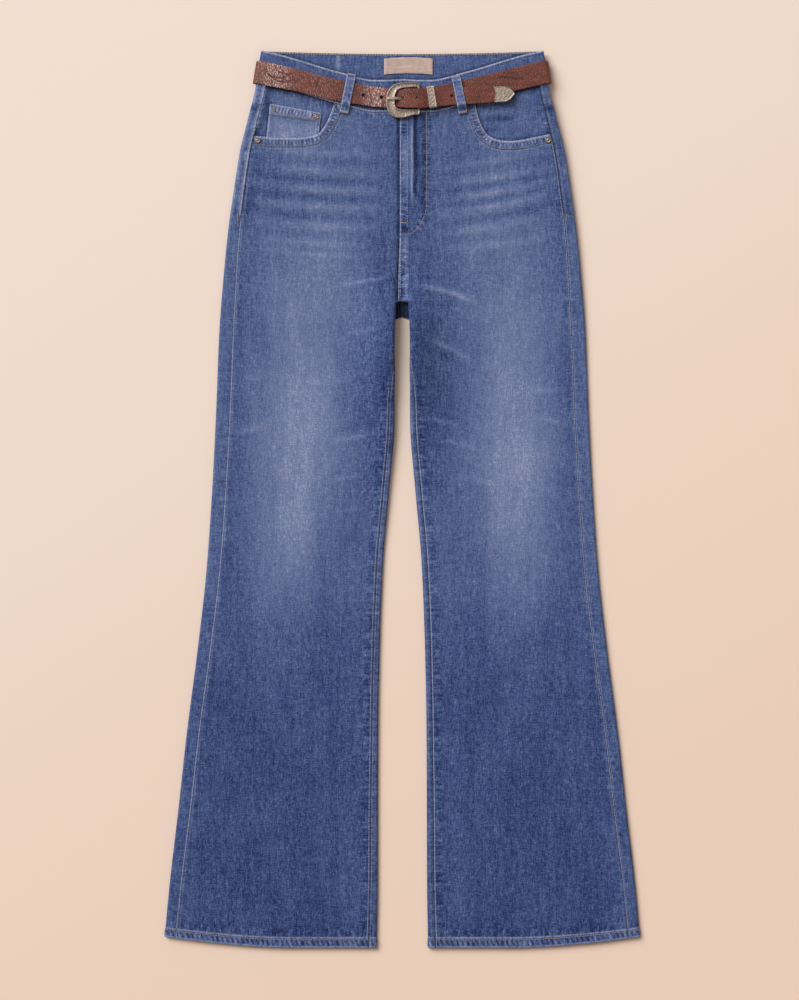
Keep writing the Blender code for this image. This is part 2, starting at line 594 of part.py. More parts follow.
def waistband():
    """One strip from its left end at the fly, round the back, to its right end under the left one."""
    front_x = front_grid()[-1, FRONT_COLUMNS[0] - 1:, 0]
    turns = np.linspace(0, math.pi, FOLD_COLUMNS)
    share = np.linspace(0, 1, 4)
    columns = []

    def flat(x, top, z, drop=0.0):
        h = top - BAND_HEIGHT * (1 - share)
        columns.append(np.stack((x + 0 * h, h, z(h) - drop), axis=1))

    def fold(turn, sign):
        h = TOP_SIDE - BAND_HEIGHT * (1 - share)
        x, z = side_fold(turn, h, BAND_PROUD)
        columns.append(np.stack((sign * x, h, z), axis=1))

    def over(h):
        return lift(h) + depth(h) + BAND_PROUD

    def under(h):
        return lift(h) - BAND_PROUD

    for x in (FLY_EDGE, BAND_SECOND, *front_x):
        flat(x, front_top(x), over)
    for turn in turns:
        fold(turn, 1)
    for x in BAND_BACK:
        flat(x, back_top(x), under)
    for turn in turns[::-1]:
        fold(turn, -1)
    for x in front_x[::-1]:
        flat(-x, front_top(x), over)
    for x, dropped in UNDERLAP_DIP:
        flat(x, front_top(x), over, dropped * (BAND_WALL + GAP))
    cloth("waistband", np.array(columns).swapaxes(0, 1), BAND_WALL)


def label():
    """A woven label on the waistband's inner face, gently arched."""
    across = np.linspace(-1, 1, 7)
    middle = (LABEL["left"] + LABEL["right"]) / 2
    x = middle + across * (LABEL["right"] - LABEL["left"]) / 2
    rows = []
    for base in np.linspace(LABEL["low"], LABEL["high"], 3):
        h = base + LABEL["arch"] * (1 - across**2)
        z = lift(h) - BAND_PROUD + BAND_WALL + GAP + THIN_WALL
        rows.append(np.stack((x, h, z), axis=1))
    cloth("waist_label", np.array(rows), THIN_WALL, "label_cotton")


def belt_loop(name, face, top, low, ends, crest, run):
    """A strip sewn down at both ends, that stands off over the belt between them."""
    top, low = np.array(top, float), np.array(low, float)
    length = np.linalg.norm(low - top)
    along = (low - top) / length
    across = np.array((-along[1], along[0])) * LOOP_WIDTH / 2 * face
    ramp = np.linspace(0, 1, 5)
    up = run[0] - LOOP_RAMP * (1 - ramp)
    down = run[1] + LOOP_RAMP * ramp
    spots = [0, *up, *down, length]
    heights = [0, *ease(ramp), *ease(1 - ramp), 0]
    rows = []
    for spot, high in zip(spots[::-1], heights[::-1]):
        middle = top + along * spot
        z = ends + (crest - ends) * high
        rows.append([(*(middle - across), z), (*(middle + across), z)])
    cloth(name, np.array(rows), LOOP_WALL, outer=False)


# ---- fastenings and belt ---------------------------------------------------------------------------

def zip_fastener():
    """The closed zip under the left front, and its slider above it."""
    x, h = np.meshgrid(np.linspace(ZIP["inner"], ZIP["outer"], 3), np.linspace(ZIP["low"], ZIP["high"], 7))
    cloth("fly_zip", np.dstack((x, h, front_face(x, h) - DENIM - GAP)), DENIM, "zip_tape")
    x, h, a, b = SLIDER["x"], SLIDER["h"], SLIDER["half_width"], SLIDER["half_length"]
    under = float(front_face(x, h)) - DENIM - GAP
    top = a * SLIDER["narrow"]
    outline = [(x - a, h - b), (x + a, h - b), (x + top, h + b), (x - top, h + b)]
    high = under - SLIDER["gap"]
    prism("zip_slider", outline, high - SLIDER["wall"], high, "antique_metal")


def button_and_rivets():
    middle = (BUTTON["x"], BUTTON["h"])
    disc("waist_button", middle, BUTTON["low"], BUTTON["radius"], BUTTON["height"], "rivet_metal")
    for name, (x, h) in RIVETS.items():
        under = float(front_face(x, h)) + GAP - (COIN_DROP if name == "rivet_coin" else 0)
        disc(name, (x, h), under, RIVET["radius"], RIVET["height"], "rivet_metal", sides=16)


def rounded(corner_across, corner_thick):
    """A section's outline with cut corners, in halves of its width and thickness."""
    a, b = 1 - corner_across, 1 - corner_thick
    return [(1, -b), (1, b), (a, 1), (-a, 1), (-1, b), (-1, -b), (-a, -1), (a, -1)]


def belt_path():
    """The strap's rows: its end folded round the bar, left side, back, right side, and on to the tip."""
    bar_x, bar_h, bar_z = BAR
    start = (BUCKLE_END[0][4], FOLD_WALL)
    rows = [(bar_x + FOLD_END, bar_h, bar_z - STRAP_BEND, 0, *start)]
    for turn in np.radians(np.linspace(-90, -270, 7)):
        x, z = bar_x + STRAP_BEND * math.cos(turn), bar_z + STRAP_BEND * math.sin(turn)
        rows.append((x, bar_h, z, 0, *start))
    rows += BUCKLE_END
    radius = float(depth(BELT_SIDE)) / 2
    hub = float(half_width(BELT_SIDE)) - radius
    level = float(lift(BELT_SIDE)) + radius
    for turn in np.linspace(0, math.pi, 7):
        x, z = hub + BELT_REACH * math.sin(turn), level + BELT_REACH * math.cos(turn)
        rows.append((x, BELT_SIDE, z, SIDE_LEAN, BELT_WIDEST, BELT_WALL))
    for x in BELT_BACK_X:
        lean = BELT_BACK_LEAN * x / BELT_BACK_X[0]
        rows.append((x, BELT_BACK, level - BELT_REACH, lean, BELT_BACK_WIDTH, BELT_WALL))
    for turn in np.linspace(math.pi, 0, 7):
        x, z = hub + BELT_REACH * math.sin(turn), level + BELT_REACH * math.cos(turn)
        rows.append((-x, BELT_SIDE, z, -SIDE_LEAN, BELT_WIDEST, BELT_WALL))
    return rows + list(TIP_END)


def belt_strap():
    made = sweep("belt_strap", belt_path(), rounded(*STRAP_CORNERS), "belt_leather")
    for number, (x, h, low) in enumerate(HOLES):
        turns = np.arange(12) * math.pi / 6
        outline = [(x + HOLE_RADIUS * math.cos(a), h + HOLE_RADIUS * math.sin(a)) for a in turns]
        cut(made, prism(f"hole_{number}", outline, low, STRAP_TOP))
    for number, (start, end, low, high) in enumerate(PRONG_SLOTS):
        middle = BAR[1]
        outline = [(start, middle - SLOT_HALF), (end, middle - SLOT_HALF)]
        outline += [(end, middle + SLOT_HALF), (start, middle + SLOT_HALF)]
        cut(made, prism(f"prong_slot_{number}", outline, low, high))


def buckle():
    """The frame with its hinge bar in one casting, and the prong bent round the bar."""
    frame = [(x, h, z, 0, wide, thick) for x, h, z, wide, thick in FRAME]
    sweep("buckle_frame", frame, rounded(*FRAME_CORNERS), "antique_metal", closed=True)
    bar_x, bar_h, bar_z = BAR
    path = []
    for turn in np.radians(np.linspace(*PRONG_TURNS, 9)):
        x, z = bar_x + PRONG_BEND * math.cos(turn), bar_z + PRONG_BEND * math.sin(turn)
        path.append((x, bar_h, z, 0, *PRONG_SIZE))
    path += [(x, bar_h, z, 0, *PRONG_SIZE) for x, z in TONGUE]
    sweep("buckle_prong", path, rounded(*PRONG_CORNERS), "antique_metal")


def keeper():
    """A metal band round both straps, open along x."""
    half = KEEPER["inside"] / 2 + KEEPER["wall"]
    level = (KEEPER["low"] + KEEPER["high"]) / 2
    tall = (KEEPER["high"] - KEEPER["low"]) / 2
    lean = math.radians(KEEPER_LEAN)
    rings = []
    for edge in (-1, 1):
        for shrink in ((0, KEEPER["wall"]) if edge < 0 else (KEEPER["wall"], 0)):
            a, b = half - shrink, tall - shrink
            corner = KEEPER["corner"] - shrink
            outline = []
            for up, right in ((-1, 1), (1, 1), (1, -1), (-1, -1)):
                pair = [(right * a, up * (b - corner)), (right * (a - corner), up * b)]
                outline += pair[::-1] if up * right < 0 else pair
            rings.append([(edge * KEEPER["width"] / 2, h, level + z) for h, z in outline])
    points = []
    for x, h, z in sum(rings, []):
        turned = (x * math.cos(lean) - h * math.sin(lean), x * math.sin(lean) + h * math.cos(lean))
        points.append((KEEPER["x"] + turned[0], KEEPER["h"] + turned[1], z))
    faces = grid_faces(4, len(rings[0]), close_rows=True, close_columns=True)
    outwards(add("belt_keeper", points, faces, "antique_metal"))


def belt_tip():
    """The metal cap on the strap's end, with a pocket that the strap fits in."""
    made = prism("belt_tip", TIP_OUTLINE, *TIP_Z, finish="antique_metal")
    cut(made, prism("tip_pocket", TIP_POCKET, *TIP_POCKET_Z))


def main():
    clear_scene()
    for side in ("right", "left"):
        front(side)
        back(side)
        yoke(side)
        facing(side)
        back_pocket(side)
    coin_pocket()
    waistband()
    label()
    for name, shape in LOOPS.items():
        belt_loop(name, *shape)
    zip_fastener()
    button_and_rivets()
    belt_strap()
    buckle()
    keeper()
    belt_tip()


main()
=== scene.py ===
"""Wide leg jeans with a leather belt, laid flat on a pale floor and seen from straight above.

The file is laid out as an add-on and run as a script. Tables are in millimetres: x runs towards the
wearer's left, h is the height above the hem and z is up from the floor. Meshes are in metres.
"""

import math

import bpy
import numpy as np
from bpy.props import FloatProperty, FloatVectorProperty, PointerProperty
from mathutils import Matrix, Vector


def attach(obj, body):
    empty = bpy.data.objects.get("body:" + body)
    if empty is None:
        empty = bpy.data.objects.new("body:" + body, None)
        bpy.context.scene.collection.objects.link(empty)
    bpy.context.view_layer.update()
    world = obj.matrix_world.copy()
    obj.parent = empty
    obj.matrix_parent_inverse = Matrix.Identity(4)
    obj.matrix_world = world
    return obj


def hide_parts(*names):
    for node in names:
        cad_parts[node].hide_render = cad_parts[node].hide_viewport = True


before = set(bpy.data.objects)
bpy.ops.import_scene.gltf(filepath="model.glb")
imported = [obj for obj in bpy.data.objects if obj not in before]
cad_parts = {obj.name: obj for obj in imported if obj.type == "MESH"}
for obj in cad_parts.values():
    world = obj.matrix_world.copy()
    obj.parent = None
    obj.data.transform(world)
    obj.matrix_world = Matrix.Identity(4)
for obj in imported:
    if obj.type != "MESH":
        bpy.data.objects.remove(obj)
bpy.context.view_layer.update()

bl_info = {
    "name": "Wide leg jeans with a belt",
    "version": (1, 0, 0),
    "blender": (4, 5, 0),
    "location": "View3D > Sidebar > Jeans",
    "description": "Makes a pair of washed denim jeans with a leather belt, laid flat",
    "category": "Add Mesh",
}

MM = 0.001
BODY = "root"
SIDES = ("right", "left")
SIGN = {"right": -1, "left": 1}
FAR = 1e3  # a distance that no seam's marks reach

# ---- sizes of the garment, in millimetres ----------------------------------------------------------

MIDDLE = 556.0  # the origin's height above the hem
DENIM = 1.2
BAND_WALL = 2.0
BAND_HEIGHT = 40.0
BAND_PROUD = 0.4
BAND_JOIN = -79.7  # x of the back waistband's own seam
GAP = 0.3
LOOP_WALL = 1.6
LOOP_WIDTH = 11.0
THIN_WALL = 1.0

CROTCH_FRONT = 800.0
CROTCH_BACK = 781.0
GROOVE_TOP = 880.0
GROOVE_DROP = 2.9
GROOVE_HALF = 8.0
FOLD_RISE = 13.0
FOLD_WIDE = 34.0
HEM_RISE = 14.0
HEM_FADE = 250.0
HEM_BAND = 11.5
HEM_INSET = 1.5  # from the band's upper edge down to its stitches
HIP_LINE = 903.0  # above it a raised strip runs beside the side seam
SIDE_TACK = 905.0
SIDE_DARK = 918.0  # the cloth is darker round here, above the side's bar tack
YOKE_CENTRE = 1000.0
YOKE_SIDE = 1048.0
BACK_TOP_CENTRE = 1108.5
TOP_SIDE = 1112.0

OUTLINE = (  # height, half width from the middle to the side fold
    (0, 296), (72, 289.5), (171, 278), (270, 267), (370, 254), (469, 243), (568, 236), (667, 231),
    (766, 227), (841, 221), (890, 216), (940, 209), (990, 201), (1014, 195), (1039, 188.5),
    (1061, 183), (1094, 178), (1112, 174.5),
)
LEG_GAP = (  # height, half of the gap between the legs
    (0, 32), (84, 30.5), (184, 30.4), (283, 29.8), (382, 27.8), (481, 23.6), (568, 16), (655, 9.5),
    (729, 9.3), (754, 9.2), (800, 7.4),
)
LIFT = ((0, 0), (720, 0), (846, 1.6), (984, 3.2), (1060, 5.6), (1112, 5.6))
DEPTH = ((0, 5.6), (780, 5.6), (900, 6.0), (1000, 6.2), (1112, 6.2))
SIDE_SEAM = (
    (0, 13.5), (270, 14.5), (500, 16), (750, 17), (900, 13.6), (1039, 12.5), (1112, 12.5),
)
INSEAM = (
    (0, 15.5), (160, 14.4), (300, 13.4), (600, 13.2), (670, 12.6), (705, 9.6), (740, 4.2), (778, 0.3),
    (800, 1.2),
)
FRONT_TOP = (
    (0, 1077), (20, 1075.8), (37, 1075.8), (53, 1078.6), (69, 1083.2), (90, 1088.8), (107, 1094),
    (133, 1102), (156, 1108.2), (175, 1112),
)
LEG_TOP = 945.0  # above this the rows follow the seam above them
SCOOP = {  # x and h of the pocket mouth's edge, from the middle outwards
    "right": (
        (84, 1050), (87.2, 1039), (91.3, 1028), (96.6, 1018.3), (103, 1010.2), (113, 1006.3),
        (128, 1004.2), (153, 1004.2), (181, 1006.3), (190, 1007),
    ),
    "left": (
        (90, 1050), (91.9, 1039), (96.6, 1023.5), (103.8, 1010), (111.5, 1004.4), (123.5, 1000.8),
        (135, 1000.4), (151, 1002.3), (167, 1005.6), (181, 1008.2), (191, 1009.2),
    ),
}
SCOOP_BAND = {"right": 10.2, "left": 9.8}  # from the mouth's edge to its row of stitches
SCOOP_EDGE = 2.8  # the same for the row beside the edge
FACING_DROP = {"right": 2.8, "left": 1.5}
FACING_LOW = 940.0
FACING_INNER = 64.0
FACING_ACROSS = 120.0
FACING_RISE = 9.0
FACING_FLAT = 2.0
FACING_SHOWN = (1010.0, 1022.0)
COIN_CORNERS = ((-171.4, 982), (-105.6, 986), (-164, 1046.6), (-99.6, 1034.7))
COIN_DROP = 1.5
COIN_WIDE, COIN_TALL = 66.0, 62.0
FLY_EDGE = -2.2
FLY_WIDTH = 34.0
FLY_LOW = 882.0
FLY_RAISE = 0.4
FLY_JOINT = 884.6  # the fly's stitches meet the centre seam here
FLY_STITCH = (  # x and h of the fly's row of stitches: straight down, then curving in to the centre seam
    (30, 1039), (30.2, 980), (30.4, 930), (30.2, 918), (28.5, 910), (24.5, 900), (18.5, 891), (12, 886),
    (4, 884.3), (-2.4, 884.6),
)
CENTRE_STITCHES = (  # both ends, the seed and the thread's radius of the rows along the fly and centre seam
    ((6.4, 1034), (6.2, 890), 11, 0.26), ((-1.8, 880), (-2.4, 806), 10, 0.32),
    ((4.6, 880), (4.6, 806), 12, 0.32),
)
CROTCH_ROWS = (-3, -1.2, 0.1, 0.9, 1.7, 3.1)  # extra rows, from the front crotch
LAP = ((800, 4.9), (850, 4.3), (890, 3.2), (1112, 3.2))  # how far the left front laps over the right one
LAP_DROP = 1.5  # how much lower the right one lies there
UNDERLAP = 22.0
BAND_START = 12.0  # the waistband's right half starts this far from the middle, beside its lap
BAND_LEVEL = 9.0  # z between the waistband's front and back
BAND_ROW = 15  # the grid's row that its run is measured on
SEAM_TUCK = 0.9  # how far, and how low, the back's edge goes under the front's
ZIP = {"inner": 2.0, "outer": 27.0, "low": 892.0, "high": 1019.0}
TEETH = {"x": 14.5, "pitch": 1.6, "half": (2.2, 0.55, 0.9)}
BACK_POCKET = {"middle": 88.0, "half": 70.0, "top": 984.0, "corner": 862.0, "tip": 846.0}
LABEL = {"left": -22.7, "right": 38.0, "low": 1082.3, "high": 1102.4, "arch": 1.8}
LABEL_HALF, LABEL_TALL = 30.3, 20.1
FOLD_REACH = 15.0

BAR = (20.1, 1052.1, 15.6)
STRAP_BEND = 2.35
PRONG_BEND = 2.3
PRONG_EYE = (3.2, 1.4)  # width and thickness where it bends round the bar
PRONG_SIZE = (3.6, 1.5)
BELT_REACH = 5.3
BELT_SIDE = 1085.0
BELT_BACK = 1086.0
BELT_WIDEST = 28.4
BELT_WALL = 3.0
SIDE_LEAN = 9.3
BUCKLE_END = (  # x, h, z, lean in degrees, width, thickness: from the bar to the wearer's left side
    (26.5, 1052.5, 16.4, 4, 24.4, 2.0), (31, 1053.1, 15.0, 8, 24.6, 2.6), (42, 1054.9, 15.0, 11, 24.8, 2.6),
    (52, 1056.4, 14.0, 12.5, 26.4, 3.0), (75.3, 1060.9, 14.0, 13.2, 27.2, 3.0),
    (99, 1066.3, 14.0, 13.4, 27.5, 3.0), (123.6, 1072.2, 14.0, 13.4, 27.8, 3.0),
    (148, 1078.3, 14.0, 12.5, 28.2, 3.0), (166, 1082.6, 14.0, 10.5, 28.4, 3.0),
)
TIP_END = (  # the same columns: from the wearer's right side through the buckle to the tip
    (-166, 1082.4, 14.0, -10, 28.4, 3.0), (-150.4, 1079.4, 14.0, -11.5, 28, 3.0),
    (-126.9, 1074.1, 14.0, -13.5, 27.2, 3.0), (-102, 1067.6, 14.0, -14, 26.6, 3.0),
    (-71, 1060.5, 14.0, -11.5, 26.1, 3.0), (-54.9, 1057.9, 14.0, -9, 25.6, 3.0),
    (-42.5, 1055.7, 14.0, -7.5, 25.0, 3.0), (-21.5, 1053.1, 14.0, -5, 24.5, 3.0),
    (-12, 1052.5, 13.9, -2, 24.0, 3.0), (-8, 1052.0, 14.0, -2, 22.0, 3.0), (-5, 1051.8, 15.1, -1, 20.6, 3.0),
    (-2, 1051.8, 17.0, 0, 21.6, 3.0), (2, 1052.0, 18.9, 0, 23.0, 3.0), (6, 1052.1, 20.0, 0, 24.0, 3.0),
    (10, 1052.1, 20.4, 0, 24.0, 3.0), (14, 1052.1, 20.5, 0, 24.0, 3.0),
    (20, 1052.2, 20.6, 1, 24.2, 3.0), (25, 1052.6, 19.9, 2.5, 24.4, 3.0), (31, 1053.2, 18.2, 3, 24.4, 3.0),
    (42, 1054.1, 18.1, 3, 24.2, 3.0), (52, 1054.8, 17.3, 2.5, 23.6, 3.0), (66, 1055.3, 17.3, 2, 22.6, 3.0),
    (82, 1055.8, 17.3, 2, 21.6, 3.0), (97, 1056.4, 17.4, 2, 20.6, 2.8), (108, 1056.9, 17.8, 2, 19.9, 2.3),
    (112, 1057, 17.8, 2, 19.6, 2.2), (112.6, 1057, 17.8, 2, 17.4, 2.2), (124, 1057.4, 17.8, 2, 17.4, 2.2),
)
HOLES = (
    (-48.2, 1056.6, 12.0), (-25.8, 1053.8, 12.0), (18.2, 1052.1, 18.85), (61.1, 1055.1, 15.65),
)
STRAP_TOP = 22.5
PRONG_SLOTS = ((15, 27, 12.0, 18.85), (-6.2, 1.6, 12.3, 21.5))
SLOT_HALF = 2.2
STRAP_FRONT = 12.4  # the strap lies in front of the jeans above this z
FRAME = (  # x, h, z, width, thickness round the buckle's frame; the first two are the bar's ends
    (20.1, 1038.6, 15.6, 2.5, 2.5), (20.1, 1065.8, 15.6, 2.5, 2.5), (17.5, 1069.1, 15.9, 6.4, 3.0),
    (13.9, 1069.1, 16.3, 6.2, 3.4), (8.5, 1068.9, 16.7, 6.4, 3.6), (0, 1068.3, 17.2, 6.7, 3.6),
    (-7, 1066.4, 17.6, 7.8, 3.7), (-12, 1061.2, 17.8, 9.6, 3.8), (-14.6, 1054.0, 17.8, 10.8, 3.8),
    (-14.6, 1046.0, 17.8, 11.0, 3.8), (-12.6, 1038.8, 17.8, 11.4, 3.8), (-7, 1034.2, 17.7, 11.4, 3.8),
    (0, 1033.4, 17.2, 10.4, 3.6), (8.5, 1034.6, 16.7, 8.2, 3.6), (15.5, 1035.4, 16.3, 6.6, 3.4),
    (18.4, 1035.4, 15.9, 6.8, 3.0),
)
FRAME_SECTION = (  # round the frame's section, in halves of its width and thickness
    (0.62, -1), (0.86, -0.9), (0.97, -0.6), (1, 0.1), (0.97, 0.55), (0.9, 0.9), (0.82, 1), (0.74, 0.9),
    (0.62, 0.62), (0.4, 0.5), (0.15, 0.46), (-0.15, 0.46), (-0.4, 0.5), (-0.62, 0.62), (-0.74, 0.9),
    (-0.82, 1), (-0.9, 0.9), (-0.97, 0.55), (-1, 0.1), (-0.97, -0.6), (-0.86, -0.9), (-0.62, -1),
)
TONGUE = (  # x and z over the rim
    (14.5, 17.2), (9.5, 16.1), (5.5, 15.8), (1.5, 16.2), (-2.5, 18.2), (-6.5, 20.2), (-10, 20.9),
    (-16, 20.9), (-18.6, 20.6),
)
KEEPER = {"x": 36.4, "h": 1053.9, "width": 9.0, "inside": 25.6, "low": 12.5, "high": 21.0, "wall": 0.9}
KEEPER_LEAN = 9.0
KEEPER_CORNER = 1.6
TIP_OUTLINE = (
    (112.5, 1066.8), (127, 1067.2), (133.5, 1065), (139.7, 1058.4), (134.5, 1051.5), (128.5, 1048.1),
    (113.6, 1047.2), (115.4, 1057.6),
)
TIP_Z = (15.8, 19.8)
TIP_MIDDLE = (124.0, 1057.3)
LOOPS = {  # face, top end, low end, z of the ends' inner face and over the belt, and where the crest runs
    "belt_loop_front_right": (1, (-62.4, 1083.2), (-72.3, 1034.2), 12.5, 15.8, (9.5, 38.5)),
    "belt_loop_front_left": (1, (66.0, 1080.6), (75.3, 1034.2), 12.5, 19.2, (6.6, 37.5)),
    "belt_loop_back_right": (-1, (-105, 1108.0), (-105, 1062.0), 4.9, 1.6, (6.5, 37.2)),
    "belt_loop_back_centre": (-1, (7.5, 1108.0), (7.5, 1062.0), 4.9, 1.6, (6.5, 37.2)),
    "belt_loop_back_left": (-1, (105, 1108.0), (105, 1062.0), 4.9, 1.6, (6.5, 37.2)),
}
LOOP_RAMP = 4.5
RIVETS = {
    "rivet_side_right": (-179.6, 1001.2), "rivet_side_left": (180.6, 1001.4),
    "rivet_coin": (-106.8, 1030.6),
}
RIVET_PROFILE = (  # radius and height
    (3.5, 0), (3.6, 0.5), (3.3, 0.95), (2.8, 1.1), (2.3, 0.9), (1.9, 0.65), (1.5, 0.7), (1.1, 1.05),
    (0.6, 1.25), (0.15, 1.3),
)

# ---- wear and creases ------------------------------------------------------------------------------

LIGHT_MIDDLE = {  # height, distance from the middle of the light zone down each thigh
    "right": ((370, 150), (456, 145), (531, 135), (630, 123), (729, 118), (884, 106), (1000, 100)),
    "left": ((370, 142), (444, 142), (531, 136), (642, 133), (766, 131), (878, 127), (1000, 118)),
}
LIGHT_AMOUNT = (
    (330, 0), (370, 0.05), (420, 0.14), (480, 0.23), (560, 0.31), (640, 0.325), (720, 0.27), (800, 0.22),
    (880, 0.17), (960, 0.06), (1060, 0.03),
)
LIGHT_INNER = ((370, 22), (450, 36), (560, 46), (700, 46), (850, 60), (1000, 70))
LIGHT_OUTER = ((370, 22), (450, 40), (560, 55), (700, 60), (850, 60), (1000, 60))
STRIP_WEAR = ((0, 0.1), (250, 0.1), (400, 0.05), (900, 0.03), (1000, -0.02))  # more on the backs' strips
BASE_WEAR = (
    (0, 0.25), (100, 0.24), (300, 0.27), (380, 0.33), (480, 0.4), (700, 0.42), (900, 0.45), (1112, 0.44),
)
CREASES = {  # x, h of both ends, half width, height (a ridge is above 0), bend of the middle, fading
    "right": (
        (86, 822, 9, 837, 5, 0.8, 3, 0.13), (64, 829, 20, 838, 3, -0.5, 2, -0.05),
        (86, 629, 24, 642, 4, 0.7, 2, 0.12), (90, 579, 36, 593, 4, 0.6, 2, 0.1),
        (211, 634, 168, 649, 5, 0.7, 0, 0.1), (92, 640, 30, 655, 5, -0.5, 2, -0.05),
        (120, 700, 40, 716, 7, 0.4, 3, 0.05), (70, 760, 18, 775, 6, 0.5, 2, 0.07),
        (205, 700, 160, 712, 6, 0.4, 0, 0.05), (90, 540, 40, 548, 6, 0.4, 0, 0.05),
    ),
    "left": (
        (16, 822, 96, 797, 5, 1.0, 4, 0.25), (22, 756, 90, 723, 5, 0.9, 5, 0.17),
        (22, 657, 72, 646, 4, 0.7, 2, 0.11), (47, 629, 96, 617, 4, 0.7, 2, 0.12),
        (158, 689, 202, 689, 5, 0.6, 2, 0.1), (164, 657, 204, 648, 5, 0.7, 2, 0.1),
        (29, 791, 55, 782, 4, 0.7, 0, 0.1), (13, 849, 20, 792, 4, 0.7, 3, 0.06),
        (24, 744, 80, 716, 5, -0.5, 4, -0.06), (60, 585, 120, 572, 7, 0.4, 3, 0.06),
    ),
}
WHISKERS = {  # the same for the bands across the hips
    "right": (
        (190, 992, 25, 984, 6, 0.35, 3, 0.09), (193, 973, 14, 960, 7, 0.45, 4, 0.12),
        (196, 951, 18, 939, 6, 0.4, 4, 0.12), (198, 929, 20, 917, 7, 0.45, 4, 0.12),
        (200, 905, 24, 893, 6, 0.4, 4, 0.1), (190, 882, 34, 872, 5, 0.4, 3, 0.1),
        (189, 866, 40, 857, 4, 0.6, 2, 0.09), (194, 962, 14, 949, 5, -0.3, 4, -0.07),
        (196, 940, 18, 928, 5, -0.3, 4, -0.08), (198, 917, 20, 905, 5, -0.3, 4, -0.07),
    ),
    "left": (
        (34, 967, 190, 990, 6, 0.35, -3, 0.09), (36, 948, 193, 971, 7, 0.45, -4, 0.12),
        (38, 927, 196, 955, 6, 0.4, -4, 0.12), (40, 909, 196, 940, 7, 0.45, -4, 0.13),
        (34, 884, 199, 912, 6, 0.4, -4, 0.1), (28, 863, 196, 884, 6, 0.4, -3, 0.09),
        (36, 938, 194, 963, 5, -0.3, -4, -0.07), (38, 918, 196, 947, 5, -0.3, -4, -0.08),
        (38, 896, 198, 926, 5, -0.3, -4, -0.07),
    ),
}
FACING_CREASES = (  # the same columns as a front's creases, but cut in; the fading is taken off the wear, which paints shade in the troughs and pales the ridge
    (94, 1024, 142, 1026, 3.4, 1.4, 3, 0.3), (94, 1031, 146, 1034, 3.2, -0.7, 3, -0.1),
    (98, 1012, 128, 1012, 3.0, 0.5, 2, 0.1),
)
STRAP_CREASES = (  # x, h of both ends, half width, height, bend
    (-171, 1088, -137, 1083, 0.9, -0.5, -8), (-166, 1083, -133, 1077, 0.9, -0.45, -7),
    (-161, 1091, -128, 1086, 0.8, -0.4, -6), (-150, 1088, -148, 1070, 0.7, -0.25, 2),
    (-117, 1080, -111, 1064, 0.9, -0.4, 0), (-102, 1080, -108, 1062, 0.9, -0.4, 0),
    (-60, 1068, -52, 1052, 0.8, -0.3, 1), (-42, 1066, -38, 1046, 0.8, -0.35, 1),
    (97, 1072.6, 154, 1075.5, 0.8, -0.45, 4), (111, 1082, 147, 1074, 0.8, -0.4, 0),
    (118, 1077, 170, 1081, 0.7, -0.3, -3), (86, 1068, 120, 1069, 0.8, -0.35, 1),
    (150, 1071, 168, 1079, 0.8, -0.35, 1), (-140, 1086, -132, 1070, 0.8, -0.25, 1),
)
LEAST_WEAR = 0.02

# ---- stage, in metres, degrees and linear colours --------------------------------------------------

FLOOR_HALF = 15.0
LIGHT_ANGLE = 42
LIGHT_COLOUR = (0.914, 0.956, 1.0)
LIGHT_FROM = (-1.2, 1.15, 1.4)
FILL_COLOUR = (1.0, 0.92, 0.84, 1)
LENS, SENSOR = 85.0, 24.0  # millimetres
VIEW_REACH = 50
VIEW_SPOT = (-0.0035, -0.0005)
VIEW_LIFT = 0.006  # the cloth's own height


# ---- settings --------------------------------------------------------------------------------------

def to_linear(code):
    """An sRGB hex code in linear light: c/12.92 when small, else ((c + 0.055)/1.055)^2.4."""
    part = np.array([int(code[i:i + 2], 16) for i in (1, 3, 5)]) / 255
    return tuple(np.where(part <= 0.04045, part / 12.92, ((part + 0.055) / 1.055) ** 2.4).tolist())


def colour_setting(name, code, words):
    return FloatVectorProperty(
        name=name, description=words, default=to_linear(code), size=3, min=0, max=1, subtype="COLOR")


class DenimSettings(bpy.types.PropertyGroup):
    """Colours and relief of the denim and its stitching."""

    deepest: colour_setting("Deepest", "#131f4c", "Colour of denim where no dye has worn off")
    dark: colour_setting("Dark", "#324371", "Colour of the lower legs")
    middle: colour_setting("Middle", "#4a5b85", "Colour of the sides")
    light: colour_setting("Light", "#6b769b", "Colour of the light zones")
    bare: colour_setting("Bare", "#a3aac4", "Colour of fully worn edges")
    thread_tan: colour_setting("Tan thread", "#928585", "Colour of the topstitching")
    thread_hem: colour_setting("Hem thread", "#98826f", "Colour of the hems' stitches")
    thread_pale: colour_setting("Pale thread", "#a6aec4", "Colour of the seams' own stitches")
    crease_height: FloatProperty(
        name="Crease height", description="Factor on the height of all creases", default=1.0, min=0, max=3,
        subtype="FACTOR")
    stitch_length: FloatProperty(
        name="Stitch length", description="Length of one stitch with its gap", default=0.0033, min=0.001,
        max=0.01, unit="LENGTH")


class BeltSettings(bpy.types.PropertyGroup):
    """Colours and sizes of the belt and its metal."""

    leather: colour_setting("Leather", "#86412f", "Colour of the strap")
    # Also the colour of the painted shade in the strap's creases.
    leather_dark: colour_setting("Grain", "#341710", "Colour in the valleys of the grain")
    metal: colour_setting("Metal", "#bfae9e", "Colour of the buckle")
    patina: colour_setting("Patina", "#6c5f58", "Colour of the metal's hollows")
    hole_radius: FloatProperty(
        name="Hole radius", description="Radius of the punched holes", default=0.0021, min=0.0005, max=0.004,
        unit="LENGTH")


